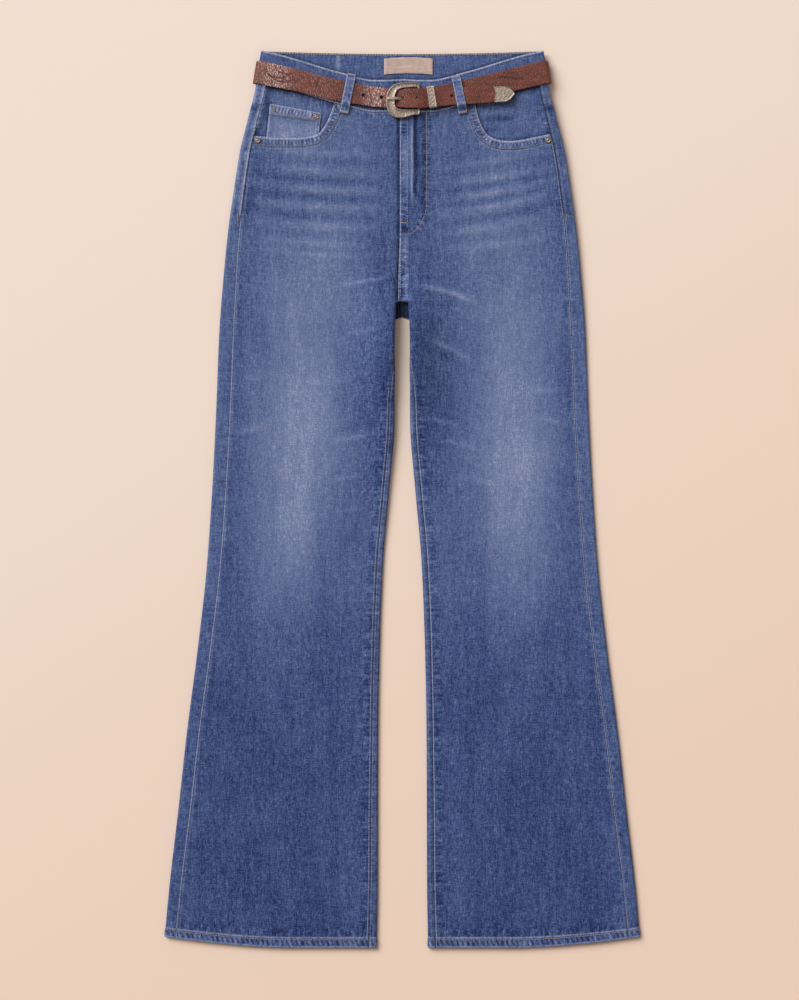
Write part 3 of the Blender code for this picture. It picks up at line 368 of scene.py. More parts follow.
class StageSettings(bpy.types.PropertyGroup):
    """Floor, light and view."""

    # The floor's colour is painted paler near the light, as painted light.
    floor_near_light: colour_setting("Floor near the light", "#efdccd", "Colour of the floor's upper left")
    floor: colour_setting("Floor", "#e6cab6", "Colour of the floor's lower right")
    key_strength: FloatProperty(
        name="Key light", description="Strength of the light from the upper left", default=3.45, min=0,
        max=20)
    fill: FloatProperty(
        name="Fill", description="Strength of the light from all round", default=0.38, min=0, max=3)
    view_height: FloatProperty(
        name="View height", description="Height of the floor that the picture shows", default=1.24, min=0.1,
        max=5, unit="LENGTH")


# ---- tables and curves -----------------------------------------------------------------------------

def smooth(rows, at):
    """A table's second column at values of its first: cubic pieces whose slopes never overshoot."""
    xs, ys = np.array(rows, float).T
    step = np.diff(xs)
    rise = np.diff(ys) / step
    slope = np.concatenate(([rise[0]], np.zeros(len(xs) - 2), [rise[-1]]))
    same = rise[:-1] * rise[1:] > 0
    slope[1:-1][same] = 2 * rise[:-1][same] * rise[1:][same] / (rise[:-1][same] + rise[1:][same])
    at = np.clip(np.asarray(at, float), xs[0], xs[-1])
    i = np.clip(np.searchsorted(xs, at) - 1, 0, len(step) - 1)
    t = (at - xs[i]) / step[i]
    ends = (1 + 2 * t) * (1 - t) ** 2 * ys[i] + t * t * (3 - 2 * t) * ys[i + 1]
    return ends + step[i] * (t * (1 - t) ** 2 * slope[i] - t * t * (1 - t) * slope[i + 1])


def ease(t):
    """0 below 0, 1 above 1, and 3t^2 - 2t^3 between."""
    t = np.clip(t, 0, 1)
    return t * t * (3 - 2 * t)


def bell(d, half):
    """exp(-(d/half)^2): 1 at 0, falling off on both sides."""
    return np.exp(-((d / half) ** 2))


def between(d, low, high, soft=0.8):
    """1 where d is from low to high, with soft ends."""
    return ease((d - low) / soft + 0.5) * ease((high - d) / soft + 0.5)


def spread(count, crowded):
    """count values from 0 to 1, closer together in the crowded stretches (from, to, how much)."""
    fine = np.linspace(0, 1, 2001)
    density = 1 + sum(more * between(fine, low, high, 0.04) for low, high, more in crowded)
    total = np.concatenate(([0], np.cumsum((density[1:] + density[:-1]) / 2)))
    return np.interp(np.linspace(0, 1, count), total / total[-1], fine)


def to_line(x, h, line):
    """Distance of each (x, h) from a line of corners, and how far along the line its nearest point is."""
    line = np.array(line, float)
    near, run, passed = np.full(np.shape(x), 1e6), np.zeros(np.shape(x)), 0.0
    for (ax, ah), (bx, bh) in zip(line[:-1], line[1:]):
        long = math.hypot(bx - ax, bh - ah)
        t = np.clip(((x - ax) * (bx - ax) + (h - ah) * (bh - ah)) / long**2, 0, 1)
        gone = np.hypot(x - ax - t * (bx - ax), h - ah - t * (bh - ah))
        closer = gone < near
        near, run = np.where(closer, gone, near), np.where(closer, passed + t * long, run)
        passed += long
    return near, run


def run_along(points):
    """The distance along a line of points from its first one to each."""
    return np.concatenate(([0], np.cumsum(np.linalg.norm(np.diff(points, axis=0), axis=1))))


def along_line(line, step):
    """Points each step along a line of corners."""
    line = np.array(line, float)
    run = run_along(line)
    at = np.linspace(0, run[-1], max(2, int(round(run[-1] / step)) + 1))
    return np.stack([np.interp(at, run, column) for column in line.T], axis=1)


def curved(line, step=1.0):
    """Points each step along a smooth curve through corners: each column is smoothed over the run."""
    line = np.array(line, float)
    run = run_along(line[:, :3])
    at = np.linspace(0, run[-1], max(2, int(round(run[-1] / step)) + 1))
    return np.stack([smooth(np.stack((run, column), axis=1), at) for column in line.T], axis=1)


def waves(x, h, sizes, seed):
    """A soft irregular field of about -1 to 1: a sum of sines in turned directions for each size."""
    chance = np.random.default_rng(seed)
    total = np.zeros(np.broadcast(x, h).shape)
    for size in sizes:
        for _ in range(3):
            turn, phase = chance.uniform(0, 2 * math.pi, 2)
            total += np.sin(2 * math.pi * (x * math.cos(turn) + h * math.sin(turn)) / size + phase)
    return total / (1.7 * len(sizes) ** 0.5 * 3**0.5)


def creases(table, x, h, column=5, narrow=1.0):
    """The sum of creases, each a bell across a bent line and a half sine along it."""
    total = np.zeros(np.broadcast(x, h).shape)
    for row in table:
        ax, ah, bx, bh, half = row[:5]
        long = math.hypot(bx - ax, bh - ah)
        t = ((x - ax) * (bx - ax) + (h - ah) * (bh - ah)) / long**2
        d = ((h - ah) * (bx - ax) - (x - ax) * (bh - ah)) / long
        inside = np.clip(t, 0, 1)
        d = d - row[6] * 4 * inside * (1 - inside)
        total += row[column] * bell(d, half * narrow) * np.sin(math.pi * inside) ** 0.7
    return total


# ---- the tube of cloth -----------------------------------------------------------------------------

def half_width(h):
    """From the middle to the side fold."""
    return smooth(OUTLINE, h)


def lift(h):
    """z of the face that lies down."""
    return smooth(LIFT, h)


def depth(h):
    """Thickness of both layers together."""
    return smooth(DEPTH, h)


def side_seam(h):
    """x of the side seam: the outline less the width of the back's strip."""
    return half_width(h) - smooth(SIDE_SEAM, h)


def hip_share(h):
    """0 down the legs and 1 over the hips."""
    return ease((h - HIP_LINE) / 10)


def above_crotch(h):
    """0 on the legs and 1 just above the front crotch."""
    return ease((h - CROTCH_FRONT) / 1.6)


def fold_rise(h):
    """How much higher the inner folds stand by the crotch: it eases in up the thigh and out above."""
    return FOLD_RISE * (0.5 * ease((h - 480) / 240) + 0.5 * ease((h - 650) / 110)) * ease((850 - h) / 80)


def front_face(x, h):
    """z of the cloth's upper face: the folds' rise falls off as a bell, and a groove follows the seam."""
    groove = GROOVE_DROP * (1 - ease((h - CROTCH_FRONT) / (GROOVE_TOP - CROTCH_FRONT)))
    edge = smooth(LEG_GAP, h) + depth(h) / 2
    joined = ease((h - CROTCH_FRONT + 3) / 6)
    ridge = fold_rise(h) * bell(np.maximum(np.abs(x) - edge, 0), FOLD_WIDE) * (1 - joined * bell(x, 7))
    return lift(h) + depth(h) + ridge - groove * bell(x, GROOVE_HALF) * joined


def inner_path(run, h):
    """x and z at a distance along the back of a leg, half a circle over its inner fold, then the front."""
    radius = depth(h) / 2
    turn = np.clip(run / radius, 0, math.pi)
    flat = np.maximum(-run, 0) + np.maximum(run - math.pi * radius, 0)
    x = smooth(LEG_GAP, h) + radius * (1 - np.sin(turn)) + flat
    rise = fold_rise(h) * np.where(run > math.pi * radius, bell(flat, FOLD_WIDE), 1)
    return x, lift(h) + (radius + rise / 2) * (1 - np.cos(turn))


def front_top(x):
    """Height of the front waistband's top."""
    return smooth(FRONT_TOP, np.abs(x))


def back_top(x):
    """Height of the back waistband's top: it rises to the sides as x squared."""
    return BACK_TOP_CENTRE + (TOP_SIDE - BACK_TOP_CENTRE) * np.minimum(np.abs(x) / 175, 1) ** 2


def front_seam(x):
    """Height of the fronts' upper edge: the waistband's height and a gap below its top."""
    return front_top(x) - BAND_HEIGHT - GAP


def yoke_low(x):
    """Height of the yoke seam: it rises to the sides as x to the power 1.2."""
    return YOKE_CENTRE + (YOKE_SIDE - YOKE_CENTRE) * np.clip(x / half_width(YOKE_SIDE), 0, 1) ** 1.2


def leg_height(base, x):
    """A leg row's height: near the hem it rises towards the outer corner as a power of the way across."""
    fade = np.maximum(0, 1 - base / HEM_FADE) ** 2
    inner = smooth(LEG_GAP, base)
    across = (x - inner) / (half_width(base) - inner)
    return base + HEM_RISE * fade * np.clip((across - 0.4) / 0.6, 0, 1) ** 1.7


def leg_rows(step, upper):
    """Base heights of the rows up the leg, fine over the hem, and the upper rows' shares to the seam."""
    hem = np.concatenate((np.arange(0, 15.5, 1.0), [17]))
    leg = np.linspace(hem[-1], LEG_TOP, int((LEG_TOP - hem[-1]) / step) + 1)[1:]
    leg = np.sort(np.concatenate((leg, CROTCH_FRONT + np.array(CROTCH_ROWS))))
    share = np.linspace(0, 1, upper + 1)[1:]
    base = np.concatenate((hem, leg, np.full(upper, LEG_TOP)))
    return base[:, None], np.concatenate((np.zeros(len(hem) + len(leg)), share))[:, None]


# ---- relief, wear and seam marks -------------------------------------------------------------------

class Marks:
    """What the denim's material reads: wear, pale edges, roping, puckers, dark lines, seam position; the dark
    lines are mostly painted shade in gaps, grooves, beside steps and under the belt.
    """

    def __init__(self, wear):
        self.wear = np.array(wear, float)
        self.pale, self.rope, self.pucker, self.dark = (np.zeros_like(self.wear) for _ in range(4))
        self.run, self.edge = np.zeros_like(self.wear), np.full_like(self.wear, FAR)

    def seam(self, distance, run, pale=0.0, pale_to=1.3, pucker=0.0, reach=7.0, darker=0.0):
        """Adds a seam: a pale line at it, puckers that fade with distance, and a darker strip."""
        distance = np.abs(distance)
        closer = distance < self.edge
        self.edge = np.where(closer, distance, self.edge)
        self.run = np.where(closer, run, self.run)
        self.raise_to(pale=pale * ease((pale_to - distance) / 0.9 + 0.5))
        self.raise_to(pucker=pucker * bell(distance, reach))
        self.wear = self.wear - darker * bell(distance - 2, reach)

    def raise_to(self, **fields):
        """Raises the named marks to the values given, where those are higher."""
        for name, values in fields.items():
            setattr(self, name, np.maximum(getattr(self, name), values))

    def mirror(self):
        """Puts the columns of all marks in mirrored order."""
        for name in ("wear", "pale", "rope", "pucker", "dark", "run", "edge"):
            setattr(self, name, getattr(self, name)[:, ::-1])


def fade(side, ax, h):
    """Wear of the fronts: a base by height, a soft light zone down the thigh, dark inner thighs, whiskers."""
    d = ax - smooth(LIGHT_MIDDLE[side], h)
    half = np.where(d < 0, smooth(LIGHT_INNER, h), smooth(LIGHT_OUTER, h))
    zone = np.exp(-((np.abs(d) / half) ** 2.2)) * smooth(LIGHT_AMOUNT, h)
    inner = (0.13 if side == "left" else 0.17) * ease((66 - ax) / 50) * between(h, 560, 860, 90)
    outer = 0.05 * ease((ax - side_seam(h) + 45) / 40) * between(h, 420, 900, 120)
    soft = 0.03 * waves(ax, h, (160, 90), 3 if side == "left" else 8)
    soft += 0.025 * waves(ax, h * 0.12, (47, 27), 19)
    broken = 1 + 0.3 * waves(ax * 0.6, h * 2.0, (70, 33), 14)
    worn = 1.5 * creases(CREASES[side], ax, h, 7, 0.6)
    worn += 1.35 * broken * creases(WHISKERS[side], ax, h, 7, 0.85)
    worn -= 0.05 * between(h, 860, 990, 40) + 0.03 * (side == "left") * between(h, 640, 860, 60)
    return smooth(BASE_WEAR, h) + zone - inner - outer + soft + worn


def scoop_distance(side, ax, h):
    """Distance from the pocket mouth's edge and the run along it."""
    return to_line(ax, h, along_line(curved_line(SCOOP[side]), 4.0))


def curved_line(line):
    """A smooth curve through corners (x, h), with a point each 3 mm."""
    return curved(np.array([(x, h, 0) for x, h in line], float), 3.0)[:, :2]


def front_relief(side, ax, h, d_in):
    """z added to a front: creases, the seams' hollows, the hem's and mouth's raised bands and the fly."""
    d_side = side_seam(h) - ax
    bulk = bpy.context.scene.jeans_denim.crease_height
    z = bulk * (creases(CREASES[side], ax, h) + creases(WHISKERS[side], ax, h))
    z += 0.22 * waves(ax, h, (120, 70, 45), 5 if side == "left" else 6) * ease(d_in / 20)
    z += 0.35 * bell(d_side - 5, 4) - (0.25 + 0.35 * hip_share(h)) * bell(d_side, 1.3)
    z += (0.25 * bell(d_in - 5, 4) - 0.4 * bell(d_in, 1.3)) * ease((CROTCH_FRONT - h) / 10)
    z += 1.0 * bell(d_in - 13, 8) * between(h, 665, 800, 70)
    d_scoop, _ = scoop_distance(side, ax, h)
    band = SCOOP_BAND[side]
    z += 0.5 * ease((band + 1 - d_scoop) / 1.6) - 0.35 * bell(d_scoop - band, 0.9) - 0.5 * bell(d_scoop, 0.9)
    z -= 0.5 * bell(front_seam(ax) - h, 1.5) * (ax < SCOOP[side][0][0])
    if side == "left":
        z += FLY_RAISE * ease((FLY_WIDTH - ax) / 8) * ease((h - FLY_LOW) / 15)
        z += (0.7 * bell(ax - 12.4, 2.0) - 0.9 * bell(ax - 16.0, 1.5)) * between(h, 930, 1036, 25)
        z += 0.3 * ease((7.2 - ax) / 1.2) * between(h, CROTCH_FRONT + 1, 886, 2)
        z += 0.3 * bell(ax - 5, 2.6) * ease((h - 885) / 10)
        d_fly, _ = to_line(ax, h, FLY_STITCH)
        z -= 0.3 * bell(d_fly, 0.9)
    else:
        z -= LAP_DROP * ease((7.4 - ax) / 3) * ease((h - CROTCH_FRONT) / 3)
    return z


def beside_belt(x, h):
    """Painted shadow of the strap: full at its lower edge and under it, then falling off as two bells.

    It paints the strap's shadow on the cloth. x runs towards the wearer's left.
    """
    edges = [
        sorted((sign * row[0], row[1] - row[4] / 2 - 0.2) for row in rows
               if row[2] < 15.1 and sign * row[0] > 20)
        for rows, sign in ((BUCKLE_END, 1), (TIP_END, -1))
    ]
    low = np.where(x > 0, smooth(edges[0], np.abs(x)), smooth(edges[1], np.abs(x)))
    below = np.minimum(h - low, 0)
    near = ease((low + 9 - h) / 3) * ease((np.abs(x) - 20) / 4)
    return (0.6 * bell(below, 1.9) + 0.3 * bell(below, 7)) * near


def resting(z, h):
    """0 on the face that lies down, 1 from 2.5 mm above it."""
    return np.clip((z - lift(h)) / 2.5, 0, 1)


def hem_relief(base):
    """z added at the hem: a raised band with a groove at its stitches and a rounded lower edge."""
    z = 0.75 * ease((HEM_BAND + 1.2 - base) / 2)
    return z - 0.45 * bell(base - HEM_BAND + HEM_INSET, 0.8) - 0.5 * bell(base, 0.9)


def hem_marks(marks, base, x):
    """Roping over the hem's upper part, a pale lower edge and a pale broken ridge above the stitches."""
    marks.raise_to(rope=0.75 * between(base, 2.5, HEM_BAND - 2.0, 2.5))
    # Painted shade in the groove at the hem's row of stitches.
    marks.raise_to(dark=0.35 * between(base, HEM_BAND - 2.6, HEM_BAND - 0.2, 0.9))
    marks.raise_to(pale=0.5 * between(base, -1, 2.2, 1.6))
    marks.raise_to(pale=0.45 * between(base, HEM_BAND + 0.1, HEM_BAND + 2.2, 1.0))
    marks.raise_to(pucker=0.8 * between(base, 1, HEM_BAND + 12, 7))
    above = 0.05 * between(base, HEM_BAND + 2, HEM_BAND + 16, 6)
    marks.wear = marks.wear + 0.11 * between(base, 0, HEM_BAND, 2) - above
    near = base < HEM_BAND + 20
    marks.run, marks.edge = np.where(near, x, marks.run), np.where(near, base, marks.edge)


# ---- making meshes ---------------------------------------------------------------------------------

def quads_of(rows, columns, close_rows=False, close_columns=False):
    """Quads over a grid of points; a closed direction joins its last line of points to the first."""
    i = np.arange(rows if close_rows else rows - 1)[:, None]
    j = np.arange(columns if close_columns else columns - 1)[None]
    right, up = (j + 1) % columns, (i + 1) % rows
    corners = (i * columns + j, i * columns + right, up * columns + right, up * columns + j)
    return np.stack(np.broadcast_arrays(*corners), axis=-1).reshape(-1, 4)


def lidded_faces(rows, columns):
    """Quads over rows of closed rings, with a flat lid on the first and the last ring."""
    faces = quads_of(rows, columns, close_columns=True).tolist()
    last = (rows - 1) * columns
    return faces + [list(range(columns))[::-1], list(range(last, last + columns))]


def linked(name, data):
    """A new object of the scene."""
    made = bpy.data.objects.new(name, data)
    bpy.context.scene.collection.objects.link(made)
    return made


def new_piece(name, points, faces, finish, fields=None, sharp=None):
    """An object from points (x, h, z) in millimetres and faces, with fields as point attributes."""
    points = (np.asarray(points, float).reshape(-1, 3) - (0, MIDDLE, 0)) * MM
    mesh = bpy.data.meshes.new(name)
    mesh.from_pydata(points.tolist(), [], [list(face) for face in faces])
    for field, values in (fields or {}).items():
        flat = values.ndim == 1
        made = mesh.attributes.new(field, "FLOAT" if flat else "FLOAT_VECTOR", "POINT")
        made.data.foreach_set("value" if flat else "vector", values.astype(np.float32).ravel())
    mesh.validate()
    for material in finish if isinstance(finish, (list, tuple)) else [finish]:
        mesh.materials.append(material)
    mesh.shade_smooth()
    if sharp:
        mesh.set_sharp_from_angle(angle=math.radians(sharp))
    piece = linked(name, mesh)
    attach(piece, BODY)
    return piece


def normals_of(points):
    """Unit normals of a grid of points: the cross product of its two directions."""
    across, up = np.gradient(points, axis=1), np.gradient(points, axis=0)
    square = np.cross(across, up)
    return square / np.maximum(np.linalg.norm(square, axis=-1, keepdims=True), 1e-9)


def shell(name, outer, wall, finish, marks=None, inside_wear=None):
    """A closed sheet of cloth: an outer grid, the same moved in by the wall, and a ring round the rim."""
    rows, columns = outer.shape[:2]
    inner = outer - wall * normals_of(outer)
    index = np.arange(rows * columns).reshape(rows, columns)
    rim = np.concatenate((index[0, :-1], index[:-1, -1], index[-1, :0:-1], index[:0:-1, 0]))
    flat_outer, flat_inner = outer.reshape(-1, 3), inner.reshape(-1, 3)
    ring = (flat_outer[rim] + flat_inner[rim]) / 2
    points = np.concatenate((flat_outer, flat_inner, ring))
    count, around = rows * columns, len(rim)
    quads = quads_of(rows, columns)
    a, b = rim, np.roll(rim, -1)
    c = 2 * count + np.arange(around)
    d = np.roll(c, -1)
    edges = np.concatenate((np.stack((b, a, c, d), 1), np.stack((d, c, a + count, b + count), 1)))
    faces = np.concatenate((quads, quads[:, ::-1] + count, edges))
    fields = None
    if marks:
        def whole(values, inside=None):
            values = values.ravel()
            under = values if inside is None else np.full(count, inside)
            return np.concatenate((values, under, values[rim]))
        fields = {
            "wear": whole(marks.wear, inside_wear),
            "marks": np.stack((whole(marks.pale), whole(marks.rope), whole(marks.pucker)), 1),
            "seam": np.stack((whole(marks.run * MM), whole(np.minimum(marks.edge, 60) * MM),
                              whole(marks.dark)), 1),
        }
    return new_piece(name, points, faces.tolist(), finish, fields)


def denim_shell(name, side, points, marks, inside_wear=None):
    """A denim shell worked out for the wearer's left, +x; the right one is its mirror image.

    Mirroring turns a grid inside out, so the columns are put in mirrored order too.
    """
    if side == "right":
        points = points[:, ::-1] * (-1, 1, 1)
        marks.mirror()
    return shell(name + "_" + side, points, DENIM, washed_denim(), marks, inside_wear)


def carried(path, shape, closed=False):
    """Points of a section carried along rows (x, h, z, lean, width, thickness).

    The section's first direction is across the path, upright and leaning by lean degrees; its second
    is square to that and to the path. shape is in halves of the width and thickness.
    """
    path = np.array(path, float)
    spot, lean, size = path[:, :3], np.radians(path[:, 3]), path[:, 4:6]
    if closed:
        along = np.roll(spot, -1, axis=0) - np.roll(spot, 1, axis=0)
        across = np.cross((0.0, 0.0, 1.0), along)
        across /= np.linalg.norm(across, axis=1)[:, None]
    else:
        along = np.gradient(spot, axis=0)
        across = np.stack((-np.sin(lean), np.cos(lean), 0 * lean), axis=1)
    square = np.cross(along, across)
    square /= np.linalg.norm(square, axis=1)[:, None]
    shape = np.array(shape)[None] * size[:, None] / 2
    return spot[:, None] + shape[..., :1] * across[:, None] + shape[..., 1:] * square[:, None], square


def rounded_section(columns, corner, aspect, dome=0.0):
    """A section's outline in halves of its width and thickness: flat faces joined by quarter circles.

    It starts at the outer end of the upper face and runs over it, then round the under face. corner
    is the radius as a share of the half thickness, and aspect is width over thickness.
    """
    turn = np.radians(np.linspace(0, 90, 4))
    flat = np.linspace(1, -1, columns)[1:-1]
    reach = corner / aspect
    top = np.stack((flat * (1 - reach), np.ones(columns - 2)), 1)
    arc = np.stack((1 - reach + reach * np.cos(turn), 1 - corner + corner * np.sin(turn)), 1)
    upper = np.concatenate((arc, top, arc[::-1] * (-1, 1)))
    upper[:, 1] += dome * (1 - upper[:, 0] ** 2) * (upper[:, 1] > 0.5)
    lower = upper[::-1] * (1, -1)
    lower[:, 1] = np.maximum(lower[:, 1], -1)
    return np.concatenate((upper, lower))


def tube_faces(rows, columns, closed=False):
    """Quads round a carried section, with flat ends unless it is closed. The section runs clockwise."""
    faces = quads_of(rows, columns, close_rows=closed, close_columns=True)[:, ::-1].tolist()
    if not closed:
        faces += [list(range(columns)), list(range(rows * columns - 1, (rows - 1) * columns - 1, -1))]
    return faces


def face_outwards(piece):
    """Turns a closed mesh's faces outwards when its volume comes out below 0."""
    mesh = piece.data
    count = len(mesh.loop_triangles) or (mesh.calc_loop_triangles() or len(mesh.loop_triangles))
    corners = np.empty(count * 3, np.int32)
    mesh.loop_triangles.foreach_get("vertices", corners)
    spots = np.empty(len(mesh.vertices) * 3)
    mesh.vertices.foreach_get("co", spots)
    a, b, c = spots.reshape(-1, 3)[corners.reshape(-1, 3)].swapaxes(0, 1)
    if (a * np.cross(b, c)).sum() < 0:
        mesh.flip_normals()
    return piece


def turned_profile(middle, profile, sides=28):
    """Points of a profile (radius, z) turned round an upright axis, and its faces."""
    turn = np.arange(sides) * 2 * math.pi / sides
    profile = np.array(profile, float)
    x = middle[0] + profile[:, :1] * np.cos(turn)
    h = middle[1] + profile[:, :1] * np.sin(turn)
    points = np.stack((x, h, profile[:, 1:] + 0 * x), axis=-1)
    return points, lidded_faces(len(profile), sides)


def cut_out(piece, cutters):
    """Takes the cutters' shapes out of a piece and removes them."""
    for cutter in cutters:
        change = piece.modifiers.new("cut", "BOOLEAN")
        change.operation = "DIFFERENCE"
        change.solver = "EXACT"
        change.object = cutter
    shape = bpy.data.meshes.new_from_object(piece.evaluated_get(bpy.context.evaluated_depsgraph_get()))
    piece.modifiers.clear()
    piece.data = shape
    for cutter in cutters:
        bpy.data.objects.remove(cutter)


def cutter(outline, low, high):
    """An outline (x, h) carried up from low to high, to cut with."""
    points = np.array([(x, h, z) for z in (low, high) for x, h in outline])
    mesh = bpy.data.meshes.new("cutter")
    mesh.from_pydata(((points - (0, MIDDLE, 0)) * MM).tolist(), [], lidded_faces(2, len(outline)))
    return face_outwards(linked("cutter", mesh))


# ---- stitches --------------------------------------------------------------------------------------

class Stitches:
    """Collects stitches and bar tacks, then joins them in one mesh."""

    def __init__(self):
        self.points, self.faces, self.count = [], [], 0
        ring = np.arange(5) * 2 * math.pi / 5
        self.round = np.stack((np.cos(ring), np.sin(ring)), 1)

    def add(self, start, end, up, radius):
        """One stitch for each start and end: a five-sided capsule that dips into the cloth at its ends."""
        start, end, up = (np.atleast_2d(value).astype(float) for value in (start, end, up))
        way = end - start
        long = np.linalg.norm(way, axis=1, keepdims=True)
        way = way / np.maximum(long, 1e-9)
        side = np.cross(way, up)
        side /= np.maximum(np.linalg.norm(side, axis=1, keepdims=True), 1e-9)
        over = np.cross(side, way)
        rings = []
        for share, thick, rise in ((0, 0.5, -0.7), (0.22, 1, 0.35), (0.78, 1, 0.35), (1, 0.5, -0.7)):
            middle = start + way * long * share + over * rise * radius
            around = side[:, None] * self.round[None, :, :1] + over[:, None] * self.round[None, :, 1:]
            rings.append(middle[:, None] + around * radius * thick)
        points = np.stack(rings, axis=1).reshape(-1, 3)
        one = np.concatenate((quads_of(4, 5, close_columns=True)[:, ::-1], [[0, 1, 2, 3], [18, 17, 16, 15]]))
        ends = [[0, 3, 4], [19, 18, 15]]
        first = self.count + np.arange(len(start)) * 20
        self.faces += (first[:, None, None] + one[None]).reshape(-1, 4).tolist()
        self.faces += (first[:, None, None] + np.array(ends)[None]).reshape(-1, 3).tolist()
        self.points.append(points)
        self.count += len(points)

    def line(self, path, up=(0, 0, 1), radius=0.42, pitch=None, share=0.82, seed=1):
        """Stitches along a path of points, each a share of the pitch long, a little uneven."""
        path = np.array(path, float)
        up = np.broadcast_to(np.array(up, float), path.shape)
        pitch = pitch or bpy.context.scene.jeans_denim.stitch_length / MM
        run = run_along(path)
        starts = np.arange(0, run[-1] - pitch * share, pitch)
        if len(starts) == 0:
            return
        starts = starts + np.random.default_rng(seed).uniform(-0.12, 0.12, len(starts)) * pitch

        def at(values, where):
            return np.stack([np.interp(where, run, column) for column in values.T], axis=1)
        self.add(at(path, starts), at(path, starts + pitch * share), at(up, starts), radius)

    def tack(self, middle, angle, long=8.0, wide=2.0, radius=0.36, up=(0, 0, 1)):
        """A bar tack: close stitches across a short bar at an angle to x."""
        way = np.array((math.cos(math.radians(angle)), math.sin(math.radians(angle)), 0))
        side = np.array((-way[1], way[0], 0)) * wide / 2
        spots = np.array(middle) + way * np.linspace(-long / 2, long / 2, int(long / 0.62))[:, None]
        lean = way * 0.3
        self.add(spots - side - lean, spots + side + lean, np.broadcast_to(up, spots.shape), radius)

    def piece(self, name, finish):
        return new_piece(name, np.concatenate(self.points), self.faces, finish)


# ---- materials -------------------------------------------------------------------------------------

class Nodes:
    """One material's nodes, with short calls that return sockets."""

    def __init__(self, name):
        self.material = bpy.data.materials.new(name)
        self.material.use_nodes = True
        self.tree = self.material.node_tree
        self.shader = self.tree.nodes["Principled BSDF"]
        self.at = self.add("TexCoord").outputs["Object"]

    def add(self, kind, inputs=(), **settings):
        """Adds a node, sets its properties, and sets or links its inputs in order or by name."""
        made = self.tree.nodes.new("ShaderNode" + kind)
        for key, value in settings.items():
            setattr(made, key, value)
        pairs = inputs.items() if isinstance(inputs, dict) else enumerate(inputs)
        for key, value in pairs:
            self.put(made.inputs[key], value)
        return made

    def put(self, socket, value):
        if isinstance(value, bpy.types.NodeSocket):
            self.tree.links.new(value, socket)
        else:
            socket.default_value = value

    def sum(self, a, b):
        return self.add("Math", (a, b), operation="ADD").outputs[0]

    def times(self, a, b):
        return self.add("Math", (a, b), operation="MULTIPLY").outputs[0]

    def plus_share(self, a, b, share):
        """a + b * share"""
        return self.add("Math", (b, share, a), operation="MULTIPLY_ADD").outputs[0]

    def about(self, value, amount):
        """(value - 0.5) * amount"""
        return self.times(self.sum(value, -0.5), amount)

    def limits(self, value, low, high, start=0.0, end=1.0):
        names = ("Value", "From Min", "From Max", "To Min", "To Max")
        node = self.add("MapRange", dict(zip(names, (value, low, high, start, end))))
        node.interpolation_type = "SMOOTHSTEP"
        return node.outputs[0]

    def scaled(self, vector, x, y, z):
        """A vector with each part divided by a size in millimetres."""
        return self.add("VectorMath", (vector, (1 / (x * MM), 1 / (y * MM), 1 / (z * MM))),
                        operation="MULTIPLY").outputs[0]

    def noise(self, x, y=None, z=None, detail=2.0, rough=0.5, at=None):
        """Noise whose blobs are about x by y by z millimetres."""
        where = self.scaled(at or self.at, x, y or x, z or x)
        inputs = {"Vector": where, "Scale": 1.0, "Detail": detail, "Roughness": rough}
        return self.add("TexNoise", inputs).outputs[0]

    def field(self, name):
        return self.add("Attribute", attribute_name=name)

    def parts(self, vector):
        return self.add("SeparateXYZ", (vector,)).outputs

    def ramp(self, value, stops):
        """Colours by value: stops are (position, linear colour)."""
        node = self.add("ValToRGB", (value,))
        band = node.color_ramp
        while len(band.elements) < len(stops):
            band.elements.new(0.5)
        for element, (spot, colour) in zip(band.elements, stops):
            element.position = spot
            element.color = (*colour, 1)
        return node.outputs[0]

    def blend(self, share, a, b):
        node = self.add("Mix", data_type="RGBA")
        for number, value in ((0, share), (6, a), (7, b)):
            self.put(node.inputs[number], value)
        return node.outputs[2]

    def bump(self, height, distance, normal=None):
        """A bump whose height of 1 is distance millimetres high."""
        inputs = {"Height": height, "Distance": distance * MM, "Strength": 1.0}
        if normal:
            inputs["Normal"] = normal
        return self.add("Bump", inputs).outputs[0]

    def finish(self, **values):
        for key, value in values.items():
            self.put(self.shader.inputs[key.replace("_", " ")], value)
        return self.material


def once(make):
    """Makes a material the first time it is asked for, and finds it after that."""
    kept = []

    def found():
        if not kept:
            kept.append(make(make.__name__))
        return kept[0]
    return found


def opaque(colour):
    """A linear colour with an alpha of 1."""
    return (*colour, 1)


def paint(code):
    """An sRGB hex code as a node's opaque colour."""
    return opaque(to_linear(code))


